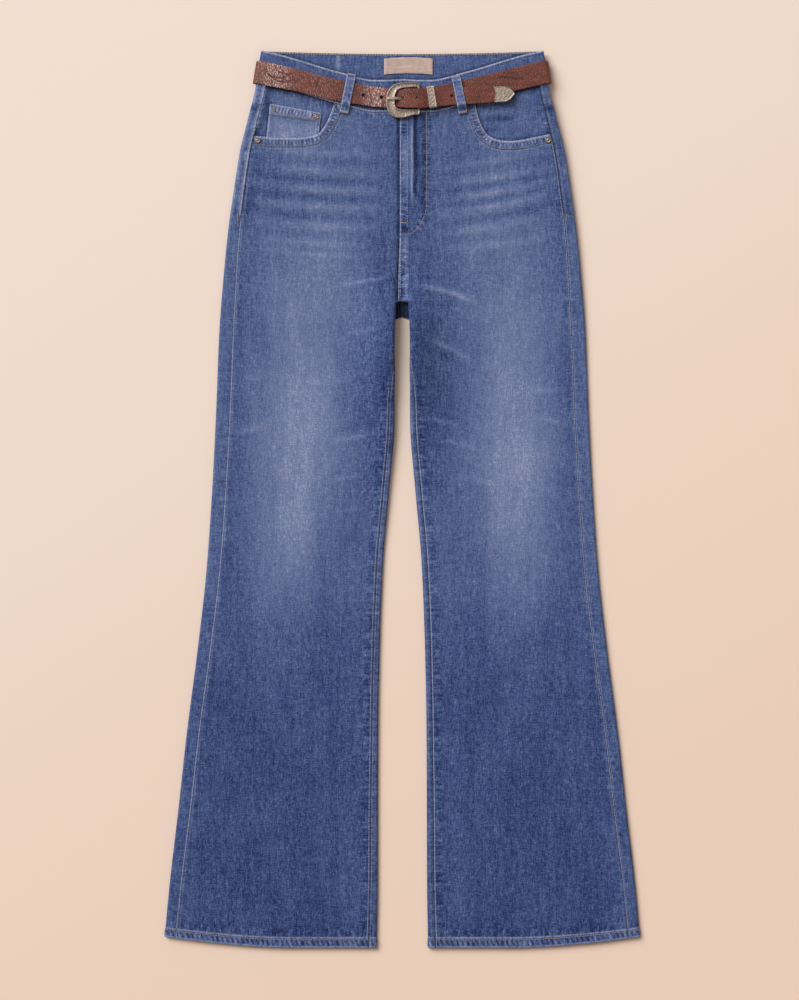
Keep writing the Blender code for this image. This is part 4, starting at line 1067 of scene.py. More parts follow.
@once
def washed_denim(name):
    """Washed indigo denim: threads both ways, mottling, roped and puckered seams, worn pale edges.

    Threads are drawn about 1 mm wide, coarser than the real 0.5 mm, which the picture can't show.
    """
    look = bpy.context.scene.jeans_denim
    n = Nodes(name)
    wear = n.field("wear").outputs["Fac"]
    pale, rope, pucker = n.parts(n.field("marks").outputs["Vector"])
    run, edge, dark = n.parts(n.field("seam").outputs["Vector"])
    seam = n.add("CombineXYZ", (run, edge)).outputs[0]
    warp = n.noise(1.35, 7.5, 6, detail=2, rough=0.6)
    weft = n.noise(7.0, 1.35, 6, detail=2, rough=0.6)
    grain = n.noise(1.6, 1.6, 2, detail=2)
    slub = n.sum(n.about(n.noise(3.4, 26, 9, detail=2), 0.22), n.about(n.noise(24, 4.0, 9, detail=2), 0.1))
    streak = n.noise(13, 120, 20, detail=2)
    cloud = n.noise(22, 30, 24, detail=2)
    threads = n.sum(n.sum(n.about(warp, 0.5), n.about(weft, 0.34)), n.about(grain, 0.46))
    threads = n.sum(threads, slub)
    threads = n.times(threads, n.limits(wear, 0.1, 0.8, 1.85, 0.9))
    tone = n.sum(wear, n.sum(threads, n.sum(n.about(cloud, 0.07), n.about(streak, 0.13))))
    ruck = n.noise(4.2, 13, 4, detail=2, at=seam)
    ruck = n.limits(ruck, 0.32, 0.68, -1.0, 1.0)
    tone = n.plus_share(tone, n.times(ruck, pucker), 0.2)
    slant = n.sum(n.times(run, 2 * math.pi / (6.2 * MM)), n.times(edge, 2 * math.pi / (17 * MM)))
    slant = n.plus_share(slant, n.noise(9, 9, 9, at=seam), 4.0)
    cord = n.limits(n.add("Math", (slant,), operation="SINE").outputs[0], -0.9, 0.5, -1.0, 0.5)
    tone = n.plus_share(tone, n.times(cord, rope), 0.3)
    stops = zip((0, 0.25, 0.45, 0.7, 1), (look.deepest, look.dark, look.middle, look.light, look.bare))
    colour = n.ramp(tone, list(stops))
    broken = n.limits(n.noise(3.2, 2.2, 3, detail=2, at=seam), 0.3, 0.62, 0.25, 1.0)
    colour = n.blend(n.times(pale, broken), colour, opaque(look.bare))
    # The dark marks blend towards near black: mostly painted shade in gaps, grooves, beside steps and under
    # the belt.
    colour = n.blend(dark, colour, paint("#0d132a"))
    lines = {"Vector": n.scaled(n.at, 0.9 * 6.28, 0.9 * 6.28, 1e3), "Scale": 1.0, "Distortion": 0.6}
    twill = n.add("TexWave", lines, bands_direction="DIAGONAL").outputs[0]
    height = n.sum(n.times(n.sum(warp, weft), 0.5), n.times(twill, 0.08))
    height = n.plus_share(height, n.times(ruck, pucker), 0.55)
    height = n.plus_share(height, n.times(cord, rope), 0.6)
    return n.finish(Base_Color=colour, Roughness=0.88, Sheen_Weight=0.12, Sheen_Roughness=0.5,
                    Specular_IOR_Level=0.25, Normal=n.bump(height, 0.42))


def thread(name, colour):
    """Twisted sewing thread: fine slanted strands and a little unevenness of colour."""
    n = Nodes(name)
    tone = n.noise(1.1, 1.1, 1.1, detail=2)
    shade = n.blend(tone, opaque([c * 0.6 for c in colour]), opaque([min(1, c * 1.35) for c in colour]))
    return n.finish(Base_Color=shade, Roughness=0.6, Normal=n.bump(n.noise(0.4, 0.4, 0.4), 0.15))


@once
def tan_thread(name):
    return thread(name, bpy.context.scene.jeans_denim.thread_tan)


@once
def golden_thread(name):
    return thread(name, bpy.context.scene.jeans_denim.thread_hem)


@once
def pale_thread(name):
    return thread(name, bpy.context.scene.jeans_denim.thread_pale)


@once
def pebbled_leather(name):
    """Pebble-grained brown leather: cells of about 2 by 4 mm with dark valleys, with painted highlights where
    it bends and painted shade in its creases.
    """
    look = bpy.context.scene.jeans_belt
    n = Nodes(name)
    # Painted sheen and crease shade: above 0 it paints highlights on the cells' tops, below 0 it paints the
    # creases dark.
    worn = n.field("sheen_and_crease_shade").outputs["Fac"]
    cells = n.add("TexVoronoi", {"Vector": n.scaled(n.at, 2.0, 4.4, 2.0), "Scale": 1.0},
                  feature="DISTANCE_TO_EDGE").outputs["Distance"]
    dome = n.limits(cells, 0.0, 0.2)
    fine = n.noise(1.3, detail=3, rough=0.6)
    cloud = n.noise(17, 9, 9, detail=3)
    tone = n.sum(n.times(dome, 0.34), n.sum(n.about(fine, 0.4), n.about(cloud, 0.8)))
    colour = n.blend(n.limits(n.sum(tone, 0.32), 0.0, 1.0), opaque(look.leather_dark), opaque(look.leather))
    warm = n.times(n.limits(n.parts(n.at)[0], 0.12, 0.175), 0.3)
    colour = n.blend(warm, colour, paint("#733a24"))
    # Painted highlight in pale pink, then painted shade in the creases in the grain's valley colour.
    colour = n.blend(n.times(worn, n.limits(cells, 0.03, 0.24, 0.1, 1.15)), colour, paint("#c79f98"))
    colour = n.blend(n.limits(worn, -0.6, -0.05, 0.85, 0.0), colour, opaque(look.leather_dark))
    height = n.sum(dome, n.times(fine, 0.35))
    rough = n.limits(dome, 0, 1, 0.65, 0.48)
    return n.finish(Base_Color=colour, Roughness=rough, Specular_IOR_Level=0.5,
                    Normal=n.bump(height, 0.3))


@once
def engraved_metal(name):
    """Engraved antique metal: bright worn tops, dark patina in the hollows, fine scratches."""
    look = bpy.context.scene.jeans_belt
    n = Nodes(name)
    hollow = n.field("hollow").outputs["Fac"]
    cells = n.add("TexVoronoi", {"Vector": n.scaled(n.at, 2.5, 2.5, 2.5), "Scale": 1.0},
                  feature="DISTANCE_TO_EDGE").outputs["Distance"]
    groove = n.limits(cells, 0.0, 0.22, 1.0, 0.0)
    spots = n.limits(n.noise(1.7, detail=4, rough=0.65), 0.36, 0.64)
    dark = n.sum(n.sum(n.times(hollow, 0.5), n.times(groove, 0.14)), n.about(spots, 0.42))
    colour = n.blend(n.limits(dark, 0.0, 0.9), opaque(look.metal), opaque(look.patina))
    rough = n.limits(dark, 0.0, 1.0, 0.5, 0.62)
    height = n.sum(n.noise(1.4, detail=3), n.times(groove, -0.4))
    return n.finish(Base_Color=colour, Metallic=1.0, Roughness=rough, Normal=n.bump(height, 0.13))


@once
def copper_metal(name):
    """Worn copper: brown tarnish over a coppery ground."""
    n = Nodes(name)
    spots = n.limits(n.noise(1.8, detail=4, rough=0.6), 0.35, 0.65)
    colour = n.blend(spots, paint("#ae9d8b"), paint("#685a50"))
    return n.finish(Base_Color=colour, Metallic=1.0, Roughness=0.5,
                    Normal=n.bump(n.noise(0.9, detail=2), 0.08))


@once
def woven_label(name):
    """Woven satin label: fine crosswise threads and a slightly darker ground under them."""
    n = Nodes(name)
    lines = n.noise(9, 0.7, 2, detail=2)
    blobs = n.noise(6, 5, 5, detail=2)
    tone = n.sum(n.about(lines, 1.2), n.about(blobs, 0.8))
    colour = n.blend(n.limits(tone, -0.5, 0.5), paint("#a98d80"), paint("#cab0a5"))
    return n.finish(Base_Color=colour, Roughness=0.7, Sheen_Weight=0.2, Normal=n.bump(lines, 0.2))


@once
def woven_tape(name):
    """Dark blue woven zip tape with a fine herringbone."""
    n = Nodes(name)
    rib = n.noise(0.9, 4, 2, detail=2)
    colour = n.blend(rib, paint("#1d2743"), paint("#3a4870"))
    return n.finish(Base_Color=colour, Roughness=0.8, Normal=n.bump(rib, 0.2))


@once
def painted_floor(name):
    """Smooth matt studio paper, its colour painted paler towards the light: a painted fall-off of light."""
    look = bpy.context.scene.jeans_stage
    n = Nodes(name)
    x, y, _ = n.parts(n.at)
    # Painted light: paler towards the upper left.
    away = n.sum(n.times(x, 0.6), n.times(y, -1.0))
    colour = n.blend(n.limits(away, -0.9, 0.75), opaque(look.floor_near_light), opaque(look.floor))
    return n.finish(Base_Color=colour, Roughness=0.95, Specular_IOR_Level=0.1)


# ---- panels ----------------------------------------------------------------------------------------

def settle(x_of, h_of, shape, base):
    """x, h and what else x_of gives, by four rounds of working out x at h and h at x."""
    h = np.broadcast_to(base, shape).astype(float)
    for _ in range(4):
        found = x_of(h)
        h = h_of(found[0])
    return found, h


def front_sheet(side):
    """A front leg's grid, as in the model: over the inner fold, then straight across to the side seam.

    Rows follow the hem, then level lines, then shares of the way to the waist seam or pocket mouth.
    """
    base, share = leg_rows(2.75, 36)
    fold = np.linspace(0, 1, 17)[None]
    across = spread(90, ((0, 0.12, 0.5), (0.38, 0.56, 1.5), (0.88, 1, 1.2)))[None, 1:]
    shape = (len(base), fold.shape[1] + across.shape[1])
    split = fold.shape[1]
    joined = above_crotch(base)

    def x_of(h):
        inner, outer = h[:, :split], h[:, split:]
        around = math.pi * depth(inner) / 2
        before = around - smooth(INSEAM, inner) - GAP / 2
        run = before + (-FOLD_REACH - before) * fold
        x_fold, z_fold = inner_path(around - run, inner)
        lapped = smooth(LAP, inner) * joined * (side == "left")
        x_flat = GAP / 2 - lapped + (FOLD_REACH - GAP / 2 + lapped) * fold
        z_flat = front_face(x_flat, inner)
        x_in = x_fold + (x_flat - x_fold) * joined
        z_in = z_fold + (z_flat - z_fold) * joined
        start = FOLD_REACH + (1 - joined) * (smooth(LEG_GAP, outer) + depth(outer) / 2)
        x_out = start + (side_seam(outer) - GAP / 2 - start) * across
        d_in = np.where(base > CROTCH_FRONT, x_flat + lapped, before - run)
        d_in = np.concatenate((d_in, x_out - start + d_in[:, -1:]), axis=1)
        return np.concatenate((x_in, x_out), 1), np.concatenate((z_in, front_face(x_out, outer)), 1), d_in

    mouth = curved_line(SCOOP[side])

    def h_of(x):
        edge = np.where(x >= mouth[0, 0], np.interp(x, mouth[:, 0], mouth[:, 1]), 2e3)
        top = np.minimum(front_seam(x), edge)
        return np.where(share > 0, LEG_TOP + share * (top - LEG_TOP), leg_height(base, x))
    (x, z, d_in), h = settle(x_of, h_of, shape, base)
    return x, h, z, d_in, np.broadcast_to(np.where(share > 0, FAR, base), shape)


def front_marks(side, x, h, d_in, base):
    """Wear and seam marks of a front."""
    marks = Marks(fade(side, x, h))
    uneven = 0.6 + 0.4 * waves(x * 0.2, h, (90, 37), 11)
    hip = hip_share(h)
    centre = above_crotch(h)
    marks.seam(d_in, h, pale=0.3 + centre * (0.55 if side == "left" else -0.3), pale_to=1.3,
               pucker=0.9, reach=6, darker=0.02)
    # Painted shadow line at the right leg's inseam, in the gap beside the back.
    marks.dark = 0.7 * between(d_in, -1, 0.9, 0.8) * (1 - centre) * (side == "right")
    mottled = between(d_in, 3.2, 12, 3) * (1 - centre) * ease((705 - h) / 20)
    marks.raise_to(pucker=0.8 * mottled)
    marks.wear -= 0.02 * mottled
    d_side = side_seam(h) - x
    marks.seam(d_side, h, pale=0.45 * (1 - hip), pale_to=1.5, pucker=0.9 * uneven, reach=8, darker=0.02)
    low_inside = 0.05 * between(d_in, 3, 40, 12) * ease((420 - h) / 200)
    marks.wear += 0.06 * between(d_side, 1, 16, 8) * ease((260 - h) / 160) + low_inside
    marks.raise_to(pale=0.3 * uneven * between(d_side, 3.0, 4.2, 0.9) * (1 - hip))
    if side == "left":
        marks.raise_to(pale=0.85 * hip * between(d_side, -1, 1.4, 0.9))
    else:
        # Painted shadow line at the side seam over the right hip, between the back's raised strip and the
        # front.
        marks.raise_to(dark=0.95 * hip * between(d_side, -1, 1.5, 0.9))
        marks.raise_to(pale=0.22 * hip * between(d_side, 2.2, 3.6, 0.9))
    marks.seam(front_seam(x) - h, x, pale=0.25, pucker=0.9, reach=7)
    d_scoop, run = scoop_distance(side, x, h)
    marks.seam(d_scoop, run * 1.5, pale=0.85, pale_to=1.8, pucker=1.2, reach=12)
    marks.raise_to(rope=0.8 * between(d_scoop, 4.0, SCOOP_BAND[side] - 2.6, 2))
    marks.wear += 0.05 * between(d_scoop, 1.5, SCOOP_BAND[side], 2)
    # Painted shade at the step down outside the pocket band's stitches.
    marks.raise_to(dark=0.45 * bell(d_scoop - SCOOP_BAND[side] - 0.9, 0.7))
    marks.raise_to(pale=0.35 * between(d_scoop, SCOOP_BAND[side] + 1.8, SCOOP_BAND[side] + 3.2, 1))
    if side == "left":
        ends = between(h, 885, 938, 16) + between(h, 1008, 1045, 10)
        strip = between(x, 0, 8, 2.5)
        marks.raise_to(pucker=1.2 * (ends + between(h, 801, 886, 2)) * between(x, -3, 7.5, 2.5))
        below_fly = 0.18 * strip * between(h, 801, 886, 4)
        marks.wear += 0.2 * strip * between(h, 945, 1005, 20) - 0.1 * strip * ends + below_fly
        marks.wear += 0.42 * bell(x - 12.2, 1.9) * between(h, 925, 1022, 25)
        bent = 0.8 * waves(0 * x, h, (60, 33), 12)
        # Painted shade in the valley beside the fly's ridge: the wear dips there and a dark line runs along
        # it.
        marks.wear -= 0.9 * bell(x - 16.2 - bent, 2.2) * between(h, 936, 1036, 22)
        marks.raise_to(dark=0.6 * bell(x - 15.9 - bent, 1.3) * between(h, 960, 1036, 22))
        beside_row = 0.13 * between(x, 19, 29, 3) * between(h, 900, 1040, 20)
        marks.wear -= 0.12 * bell(x - 12, 6) * bell(h - 915, 18) + beside_row
        marks.raise_to(dark=0.5 * bell(x - 28.3, 0.9) * between(h, 900, 1040, 10))
        # Painted shadow line where the centre strip ends at the crotch.
        marks.raise_to(dark=0.9 * between(h, 799.6, 802.2, 1.2) * (x < 7.5))
        d_fly, run = to_line(x, h, FLY_STITCH)
        marks.seam(d_fly, FLY_JOINT + run.max() - run, pale=0.1, pucker=1.3, reach=4, darker=0.1)
        marks.pucker *= 1 - bell(h - FLY_JOINT + 5, 6) * (x < 14)
    else:
        # Painted shade: the right front is darker where it dips under the left front's lap, and a dark shadow
        # line runs beside the lap's edge.
        marks.wear -= 0.3 * bell(x, 4.5) * centre + 0.09 * bell(x, 20) * ease((h - 850) / 60)
        beside = smooth(LAP, h) + 0.9
        marks.raise_to(dark=0.85 * centre * between(x, beside - 3, beside + 0.5, 1.2))
    marks.wear -= 0.16 * bell(x - side_seam(h) + 4, 8) * bell(h - SIDE_DARK, 14)
    # Painted shadow of the strap on the front.
    marks.raise_to(dark=beside_belt(SIGN[side] * x, h))
    hem_marks(marks, base, SIGN[side] * x)
    return marks


def make_front(side):
    """A front leg with its relief and marks."""
    x, h, z, d_in, base = front_sheet(side)
    z = z + front_relief(side, x, h, d_in) + hem_relief(base)
    marks = front_marks(side, x, h, d_in, base)
    marks.wear = np.clip(marks.wear, LEAST_WEAR, 1)
    piece = denim_shell("front_leg", side, np.stack((x, h, z), axis=-1), marks, inside_wear=0.5)
    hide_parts("front_" + side)


def back_rows(kind):
    """Base heights and shares of a back's or yoke's rows."""
    if kind == "back":
        return leg_rows(3.6, 18)
    share = np.linspace(0, 1, 20)[:, None]
    return YOKE_CENTRE + share * (BACK_TOP_CENTRE - BAND_HEIGHT - YOKE_CENTRE), share


def back_sheet(kind):
    """A back's grid: a strip from the side seam, half a circle round the side fold, and the underside.

    Then half a circle over the inner fold to the inseam; above the crotch it ends at the centre seam.
    """
    base, share = back_rows(kind)
    strip = spread(16, ((0, 0.45, 1.0),))[None]
    turn = np.linspace(0, math.pi, 13)[None, 1:]
    flat = np.linspace(0, 1, 31)[None, 1:]
    inner = np.linspace(0, 1, 28)[None, 1:]
    sizes = [part.shape[1] for part in (strip, turn, flat, inner)]
    joined = (base > CROTCH_BACK) if kind == "back" else base > 0

    def x_of(h):
        seam, fold, under, last = np.split(h, np.cumsum(sizes)[:-1], axis=1)
        begin = side_seam(seam) + GAP / 2 - SEAM_TUCK
        x_seam = begin + (half_width(seam) - depth(seam) / 2 - begin) * strip
        z_seam = lift(seam) + depth(seam) - SEAM_TUCK * ease((begin + 1.6 - x_seam) / 1.6)
        radius = depth(fold) / 2
        x_fold = half_width(fold) - radius + radius * np.sin(turn)
        z_fold = lift(fold) + radius + radius * np.cos(turn)
        start = half_width(under) - depth(under) / 2
        end = FOLD_REACH + np.where(joined, 0, smooth(LEG_GAP, under) + depth(under) / 2)
        x_under = start + (end - start) * flat
        edge = smooth(INSEAM, last) - GAP / 2
        x_in, z_in = inner_path(-FOLD_REACH + (edge + FOLD_REACH) * inner + 0 * last, last)
        x_joined = FOLD_REACH + (GAP / 2 - FOLD_REACH) * inner
        x_in, z_in = np.where(joined, x_joined, x_in), np.where(joined, lift(last), z_in)
        d_in = (edge + FOLD_REACH) * (1 - inner)
        far = np.full(h[:, :-sizes[-1]].shape, FAR)
        x = np.concatenate((x_seam, x_fold, x_under, x_in), 1)
        z = np.concatenate((z_seam, z_fold, lift(under), z_in), 1)
        return x, z, np.concatenate((far, d_in), 1)

    def h_of(x):
        if kind == "yoke":
            low = yoke_low(x) + GAP / 2
            wrap = np.arange(x.shape[1])[None] < sizes[0] + sizes[1]
            top = np.where(wrap, np.minimum(front_top(x), back_top(x)), back_top(x)) - BAND_HEIGHT - GAP
            return low + share * (top - low)
        upper = LEG_TOP + share * (yoke_low(x) - GAP / 2 - LEG_TOP)
        return np.where(share > 0, upper, leg_height(base, x))
    (x, z, d_in), h = settle(x_of, h_of, (len(base), sum(sizes)), base)
    low = np.broadcast_to(np.where(share > 0, FAR, base) if kind == "back" else FAR + 0 * base, x.shape)
    return x, h, z, d_in, low, sizes


def make_back(kind, side):
    """A back leg or yoke with its seams' relief: the allowance makes a raised strip beside each seam."""
    x, h, z, d_in, base, sizes = back_sheet(kind)
    points = np.stack((x, h, z), axis=-1)
    upper = np.arange(x.shape[1])[None] < sizes[0] + sizes[1]
    d_side = np.where(upper, x - side_seam(h), FAR)
    d_side[:, sizes[0]:sizes[0] + sizes[1]] = 14.0
    hip = hip_share(h)
    relief = (0.15 + 0.6 * hip) * between(d_side, 0.3, 5.2, 1.0) - 0.25 * (1 - hip) * bell(d_side, 0.8)
    relief += 0.4 * between(d_in, 0.6, 5.0, 1.2) - 0.5 * bell(d_in, 1.0)
    relief += hem_relief(base)
    points = points + (relief * resting(z, h))[..., None] * normals_of(points)
    marks = Marks(smooth(BASE_WEAR, h) + smooth(STRIP_WEAR, h) + 0.03 * waves(x, h, (90, 40), 21))
    uneven = 0.6 + 0.4 * waves(x * 0.2, h, (80, 31), 17)
    marks.seam(d_side, h, pale=0.2, pucker=0.8 * uneven, reach=8, darker=0.02 + 0.1 * hip)
    if side == "right":
        marks.raise_to(pale=0.85 * hip * between(d_side, -1, 2.2, 0.8))
        broken = ease(0.6 + 1.5 * waves(0 * x, h, (5.5, 9), 23))
        marks.dark = 0.75 * hip * between(d_side, 4.4, 5.8, 0.8) * broken
    else:
        # Painted shadow lines: at the seam between back and front over the left hip, and at the back's inseam
        # edge down the leg.
        marks.dark = np.maximum(0.85 * hip * between(d_side, -2, 1.3, 0.8),
                                0.45 * (1 - hip) * between(d_in, -1, 1.0, 0.9))
    marks.wear += hip * (0.1 * between(d_side, 2, 5.4, 1) - 0.06 * bell(d_side - 7, 2))
    worn_hip = (0.24 if side == "right" else 0.1) + (0.06 if kind == "yoke" else 0)
    marks.wear += worn_hip * ease((h - 890) / 40) * between(d_side, 1, 40, 2)
    # Painted shade on the crotch's tab, between the back and front crotch.
    marks.raise_to(dark=0.8 * ((h < CROTCH_FRONT) & (h > CROTCH_BACK)) * bell(x, 9))
    marks.seam(d_in, h, pale=0.2, pucker=0.8, reach=7, darker=0.07)
    marks.raise_to(pale=0.15 * between(d_in, 4.0, 5.4, 0.9))
    marks.wear -= 0.05 * hip * bell(d_side - 9, 5)
    # Painted shade on the right back's inner fold beside the inseam, near the crotch.
    marks.wear -= 0.2 * (side == "right") * between(h, 610, 800, 60) * between(d_in, -1, 14, 6)
    d_yoke = np.abs(yoke_low(x) - h)
    marks.seam(d_yoke, x, pale=0.2 if kind == "yoke" else 0.1, pale_to=2.0, pucker=0.9, darker=0.08)
    marks.wear -= (0.25 * bell(d_yoke - 5, 3) if kind == "back" else -0.15 * bell(d_yoke - 4, 3))
    marks.wear -= 0.14 * bell(d_side - 3, 8) * bell(h - SIDE_DARK, 14)
    hem_marks(marks, base, SIGN[side] * x)
    marks.wear = np.clip(marks.wear, LEAST_WEAR, 1)
    name = "back_leg" if kind == "back" else "back_yoke"
    # The inside is kept dark: where it shows, at the crotch, this paints shade.
    piece = denim_shell(name, side, points, marks, inside_wear=0.1)
    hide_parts(kind + "_" + side)


# ---- pockets ---------------------------------------------------------------------------------------

def make_facing(side):
    """The denim in a pocket mouth: it lies under the front and comes up level at the side seam."""
    share = np.linspace(0, 1, 46)[:, None]
    across = np.linspace(0, 1, 62)[None]
    x = FACING_INNER + across * FACING_ACROSS + 0 * share
    for _ in range(4):
        h = FACING_LOW + share * (front_seam(x) - FACING_LOW)
        end = side_seam(h) - GAP / 2
        x = FACING_INNER + (end - FACING_INNER) * across
    hidden, shown = FACING_SHOWN
    risen = ease((x - end + FACING_RISE) / (FACING_RISE - FACING_FLAT))
    risen *= ease((h - hidden) / (shown - hidden))
    z = front_face(x, h) - FACING_DROP[side] * (1 - risen)
    z += 0.25 * waves(x, h, (60, 32), 31 if side == "left" else 33) * (1 - risen)
    marks = Marks(0.46 + 0.05 * waves(x, h, (50, 24), 35))
    if side == "left":
        z -= creases(FACING_CREASES, x, h)
        # Painted shade in the creases' troughs, and a paler ridge above them.
        marks.wear -= creases(FACING_CREASES, x, h, 7)
        marks.wear += 0.2 * bell(x - 88, 6) * between(h, 1012, 1048, 10)
    else:
        marks.wear += 0.05
        d_coin, _ = to_line(-x, h, (COIN_CORNERS[0], COIN_CORNERS[2]))
        # Painted shadow of the coin pocket's edge: a dark line, and darker cloth beside it.
        marks.dark = 0.85 * between(d_coin, -1, 1.3, 0.8)
        marks.wear -= 0.1 * bell(d_coin, 6)
    marks.seam(side_seam(h) - x, h, pale=0.3, pucker=0.9, reach=8, darker=0.08)
    marks.seam(front_seam(x) - h, x, pale=0.2, pucker=0.9, reach=8, darker=0.05)
    d_scoop, _ = scoop_distance(side, x, h)
    # Painted shade: darker near the mouth's edge.
    marks.wear -= 0.14 * bell(d_scoop, 4)
    # Painted shadow of the strap.
    marks.raise_to(dark=beside_belt(SIGN[side] * x, h))
    # Painted shadow line under the mouth's edge.
    marks.raise_to(dark=0.6 * bell(d_scoop + 0.3, 1.6))
    piece = denim_shell("mouth_facing", side, np.stack((x, h, z), -1), marks, inside_wear=0.4)
    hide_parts("pocket_facing_" + side)


def coin_point(across, up):
    """x and h on the coin pocket: bilinear between its corners."""
    low_outer, low_inner, top_outer, top_inner = np.array(COIN_CORNERS, float)
    across, up = np.broadcast_arrays(np.asarray(across, float), np.asarray(up, float))
    across, up = across[..., None], up[..., None]
    low = low_outer + (low_inner - low_outer) * across
    top = top_outer + (top_inner - top_outer) * across
    return low + (top - low) * up


def coin_height(spot):
    """z of the coin pocket's face before its relief: a drop below the front's face."""
    return front_face(spot[..., 0], spot[..., 1]) - COIN_DROP


def make_coin_pocket():
    """The coin pocket: a flat patch with a doubled hem along its top and turned edges at its sides."""
    up, across = np.linspace(0, 1, 44)[:, None], np.linspace(0, 1, 50)[None]
    spot = coin_point(across, up)
    d_top, d_side = (1 - up) * COIN_TALL + 0 * across, np.minimum(across, 1 - across) * COIN_WIDE + 0 * up
    z = coin_height(spot) + 0.35 * ease((12 - d_top) / 1.5) - 0.35 * bell(d_top - 10.5, 0.8)
    z += -0.35 * bell(d_top, 0.9) - 0.45 * bell(d_side, 0.9) + 0.2 * between(d_side, 1, 4.5, 1)
    z += 0.12 * waves(spot[..., 0], spot[..., 1], (30, 17), 41)
    marks = Marks(0.7 + 0.06 * waves(spot[..., 0], spot[..., 1], (40, 22), 43))
    # Painted shadow below the pocket's hem band: darker cloth, and a dark line at the band's edge.
    marks.wear -= 0.08 * between(d_top, 12, 20, 5)
    marks.dark = 0.6 * between(d_top, 12.6, 14.4, 1)
    marks.rope = 0.7 * between(d_top, 3, 9.5, 2)
    run_up, run_across = up * COIN_TALL + 0 * across, across * COIN_WIDE + 0 * up
    marks.seam(d_side, run_up, pale=0.5, pale_to=1.5, pucker=0.9, reach=6, darker=0.08)
    marks.seam(d_top, run_across * 1.5, pale=0.6, pale_to=1.8, pucker=1.1, reach=10)
    marks.raise_to(pale=0.35 * between(d_top, 11.2, 12.8, 0.8))
    marks.raise_to(pale=0.35 * between(d_side, 4.8, 6, 0.8) * (across > 0.5))
    piece = shell("small_coin_pocket", np.dstack((spot, z)), THIN_WALL, washed_denim(), marks)
    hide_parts("coin_pocket")


def make_back_pocket(side):
    """A patch pocket under the back: a flat five-cornered patch that narrows a little to its tip."""
    across, share = np.linspace(1, -1, 41)[None], np.linspace(0, 1, 34)[:, None]
    low = BACK_POCKET["corner"] - (BACK_POCKET["corner"] - BACK_POCKET["tip"]) * (1 - np.abs(across))
    h = low + (BACK_POCKET["top"] - low) * share
    x = BACK_POCKET["middle"] + BACK_POCKET["half"] * across * (0.93 + 0.07 * share)
    marks = Marks(0.42 + 0.04 * waves(x, h, (50, 24), 51))
    marks.seam((1 - np.abs(across)) * BACK_POCKET["half"] + 0 * h, h, pale=0.5, pucker=0.9, darker=0.05)
    marks.seam(BACK_POCKET["top"] - h, x, pale=0.5, pucker=0.6, reach=12)
    piece = denim_shell("patch_pocket", side, np.stack((x, h, lift(h) - GAP - DENIM), -1), marks)
    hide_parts("back_pocket_" + side)


# ---- waistband, loops and label --------------------------------------------------------------------

def waistband_grid():
    """The waistband's outer face: level with the panels in front, half a circle at the folds, then under.

    Its right end dips under its left one. Gives the points, their height share and run along the band.
    """
    edge = float(half_width(TOP_SIDE) - depth(TOP_SIDE) / 2)
    front, back = np.linspace(0, 1, 100), np.linspace(0, 1, 150)
    turns = np.linspace(0, math.pi, 12)[1:-1]
    wide = np.linspace(0.08, 0.9, 22)
    v = np.concatenate(([0, 0.02, 0.045], wide, [0.925, 0.945, 0.965, 0.985, 1]))[:, None]

    def level(x, top, under):
        h = top - BAND_HEIGHT * (1 - v) + 0 * x
        flat = lift(h) - BAND_PROUD if under else lift(h) + depth(h) + BAND_PROUD
        return np.stack((x + 0 * h, h, flat), -1)

    def side_end(h):
        return half_width(h) - depth(h) / 2

    def stretch(first, share):
        """Columns from a fixed x to the side fold, whose x depends on the height."""
        x = first + (edge - first) * share[None]
        for _ in range(3):
            h = front_top(x) - BAND_HEIGHT * (1 - v)
            x = first + (side_end(h) - first) * share[None]
        flat = lift(h) + depth(h) + BAND_PROUD
        return np.stack((x, h, flat), -1)

    def fold(turn, sign):
        h = TOP_SIDE - BAND_HEIGHT * (1 - v) + 0 * turn[None]
        radius = depth(h) / 2
        x = side_end(h) + (radius + BAND_PROUD) * np.sin(turn[None])
        z = lift(h) + radius + (radius + BAND_PROUD) * np.cos(turn[None])
        return np.stack((sign * x, h, z), -1)

    left = stretch(FLY_EDGE, front)
    right = stretch(BAND_START, front)[:, ::-1] * (-1, 1, 1)
    x_back = (1 - 2 * back[None]) * (edge - 1)
    lap = np.linspace(-11, UNDERLAP, 22)[None]
    under_lap = level(lap, front_top(lap), False)
    under_lap[..., 2] -= ease((lap + 12.5) / 8.5) * (BAND_WALL + GAP + 0.3)
    under = level(x_back, back_top(x_back), True)
    parts = (left, fold(turns, 1), under, fold(turns[::-1], -1), right, under_lap)
    points = np.concatenate(parts, axis=1)
    run = run_along(points[BAND_ROW])[None]
    return points, v, run, [part.shape[1] for part in parts]


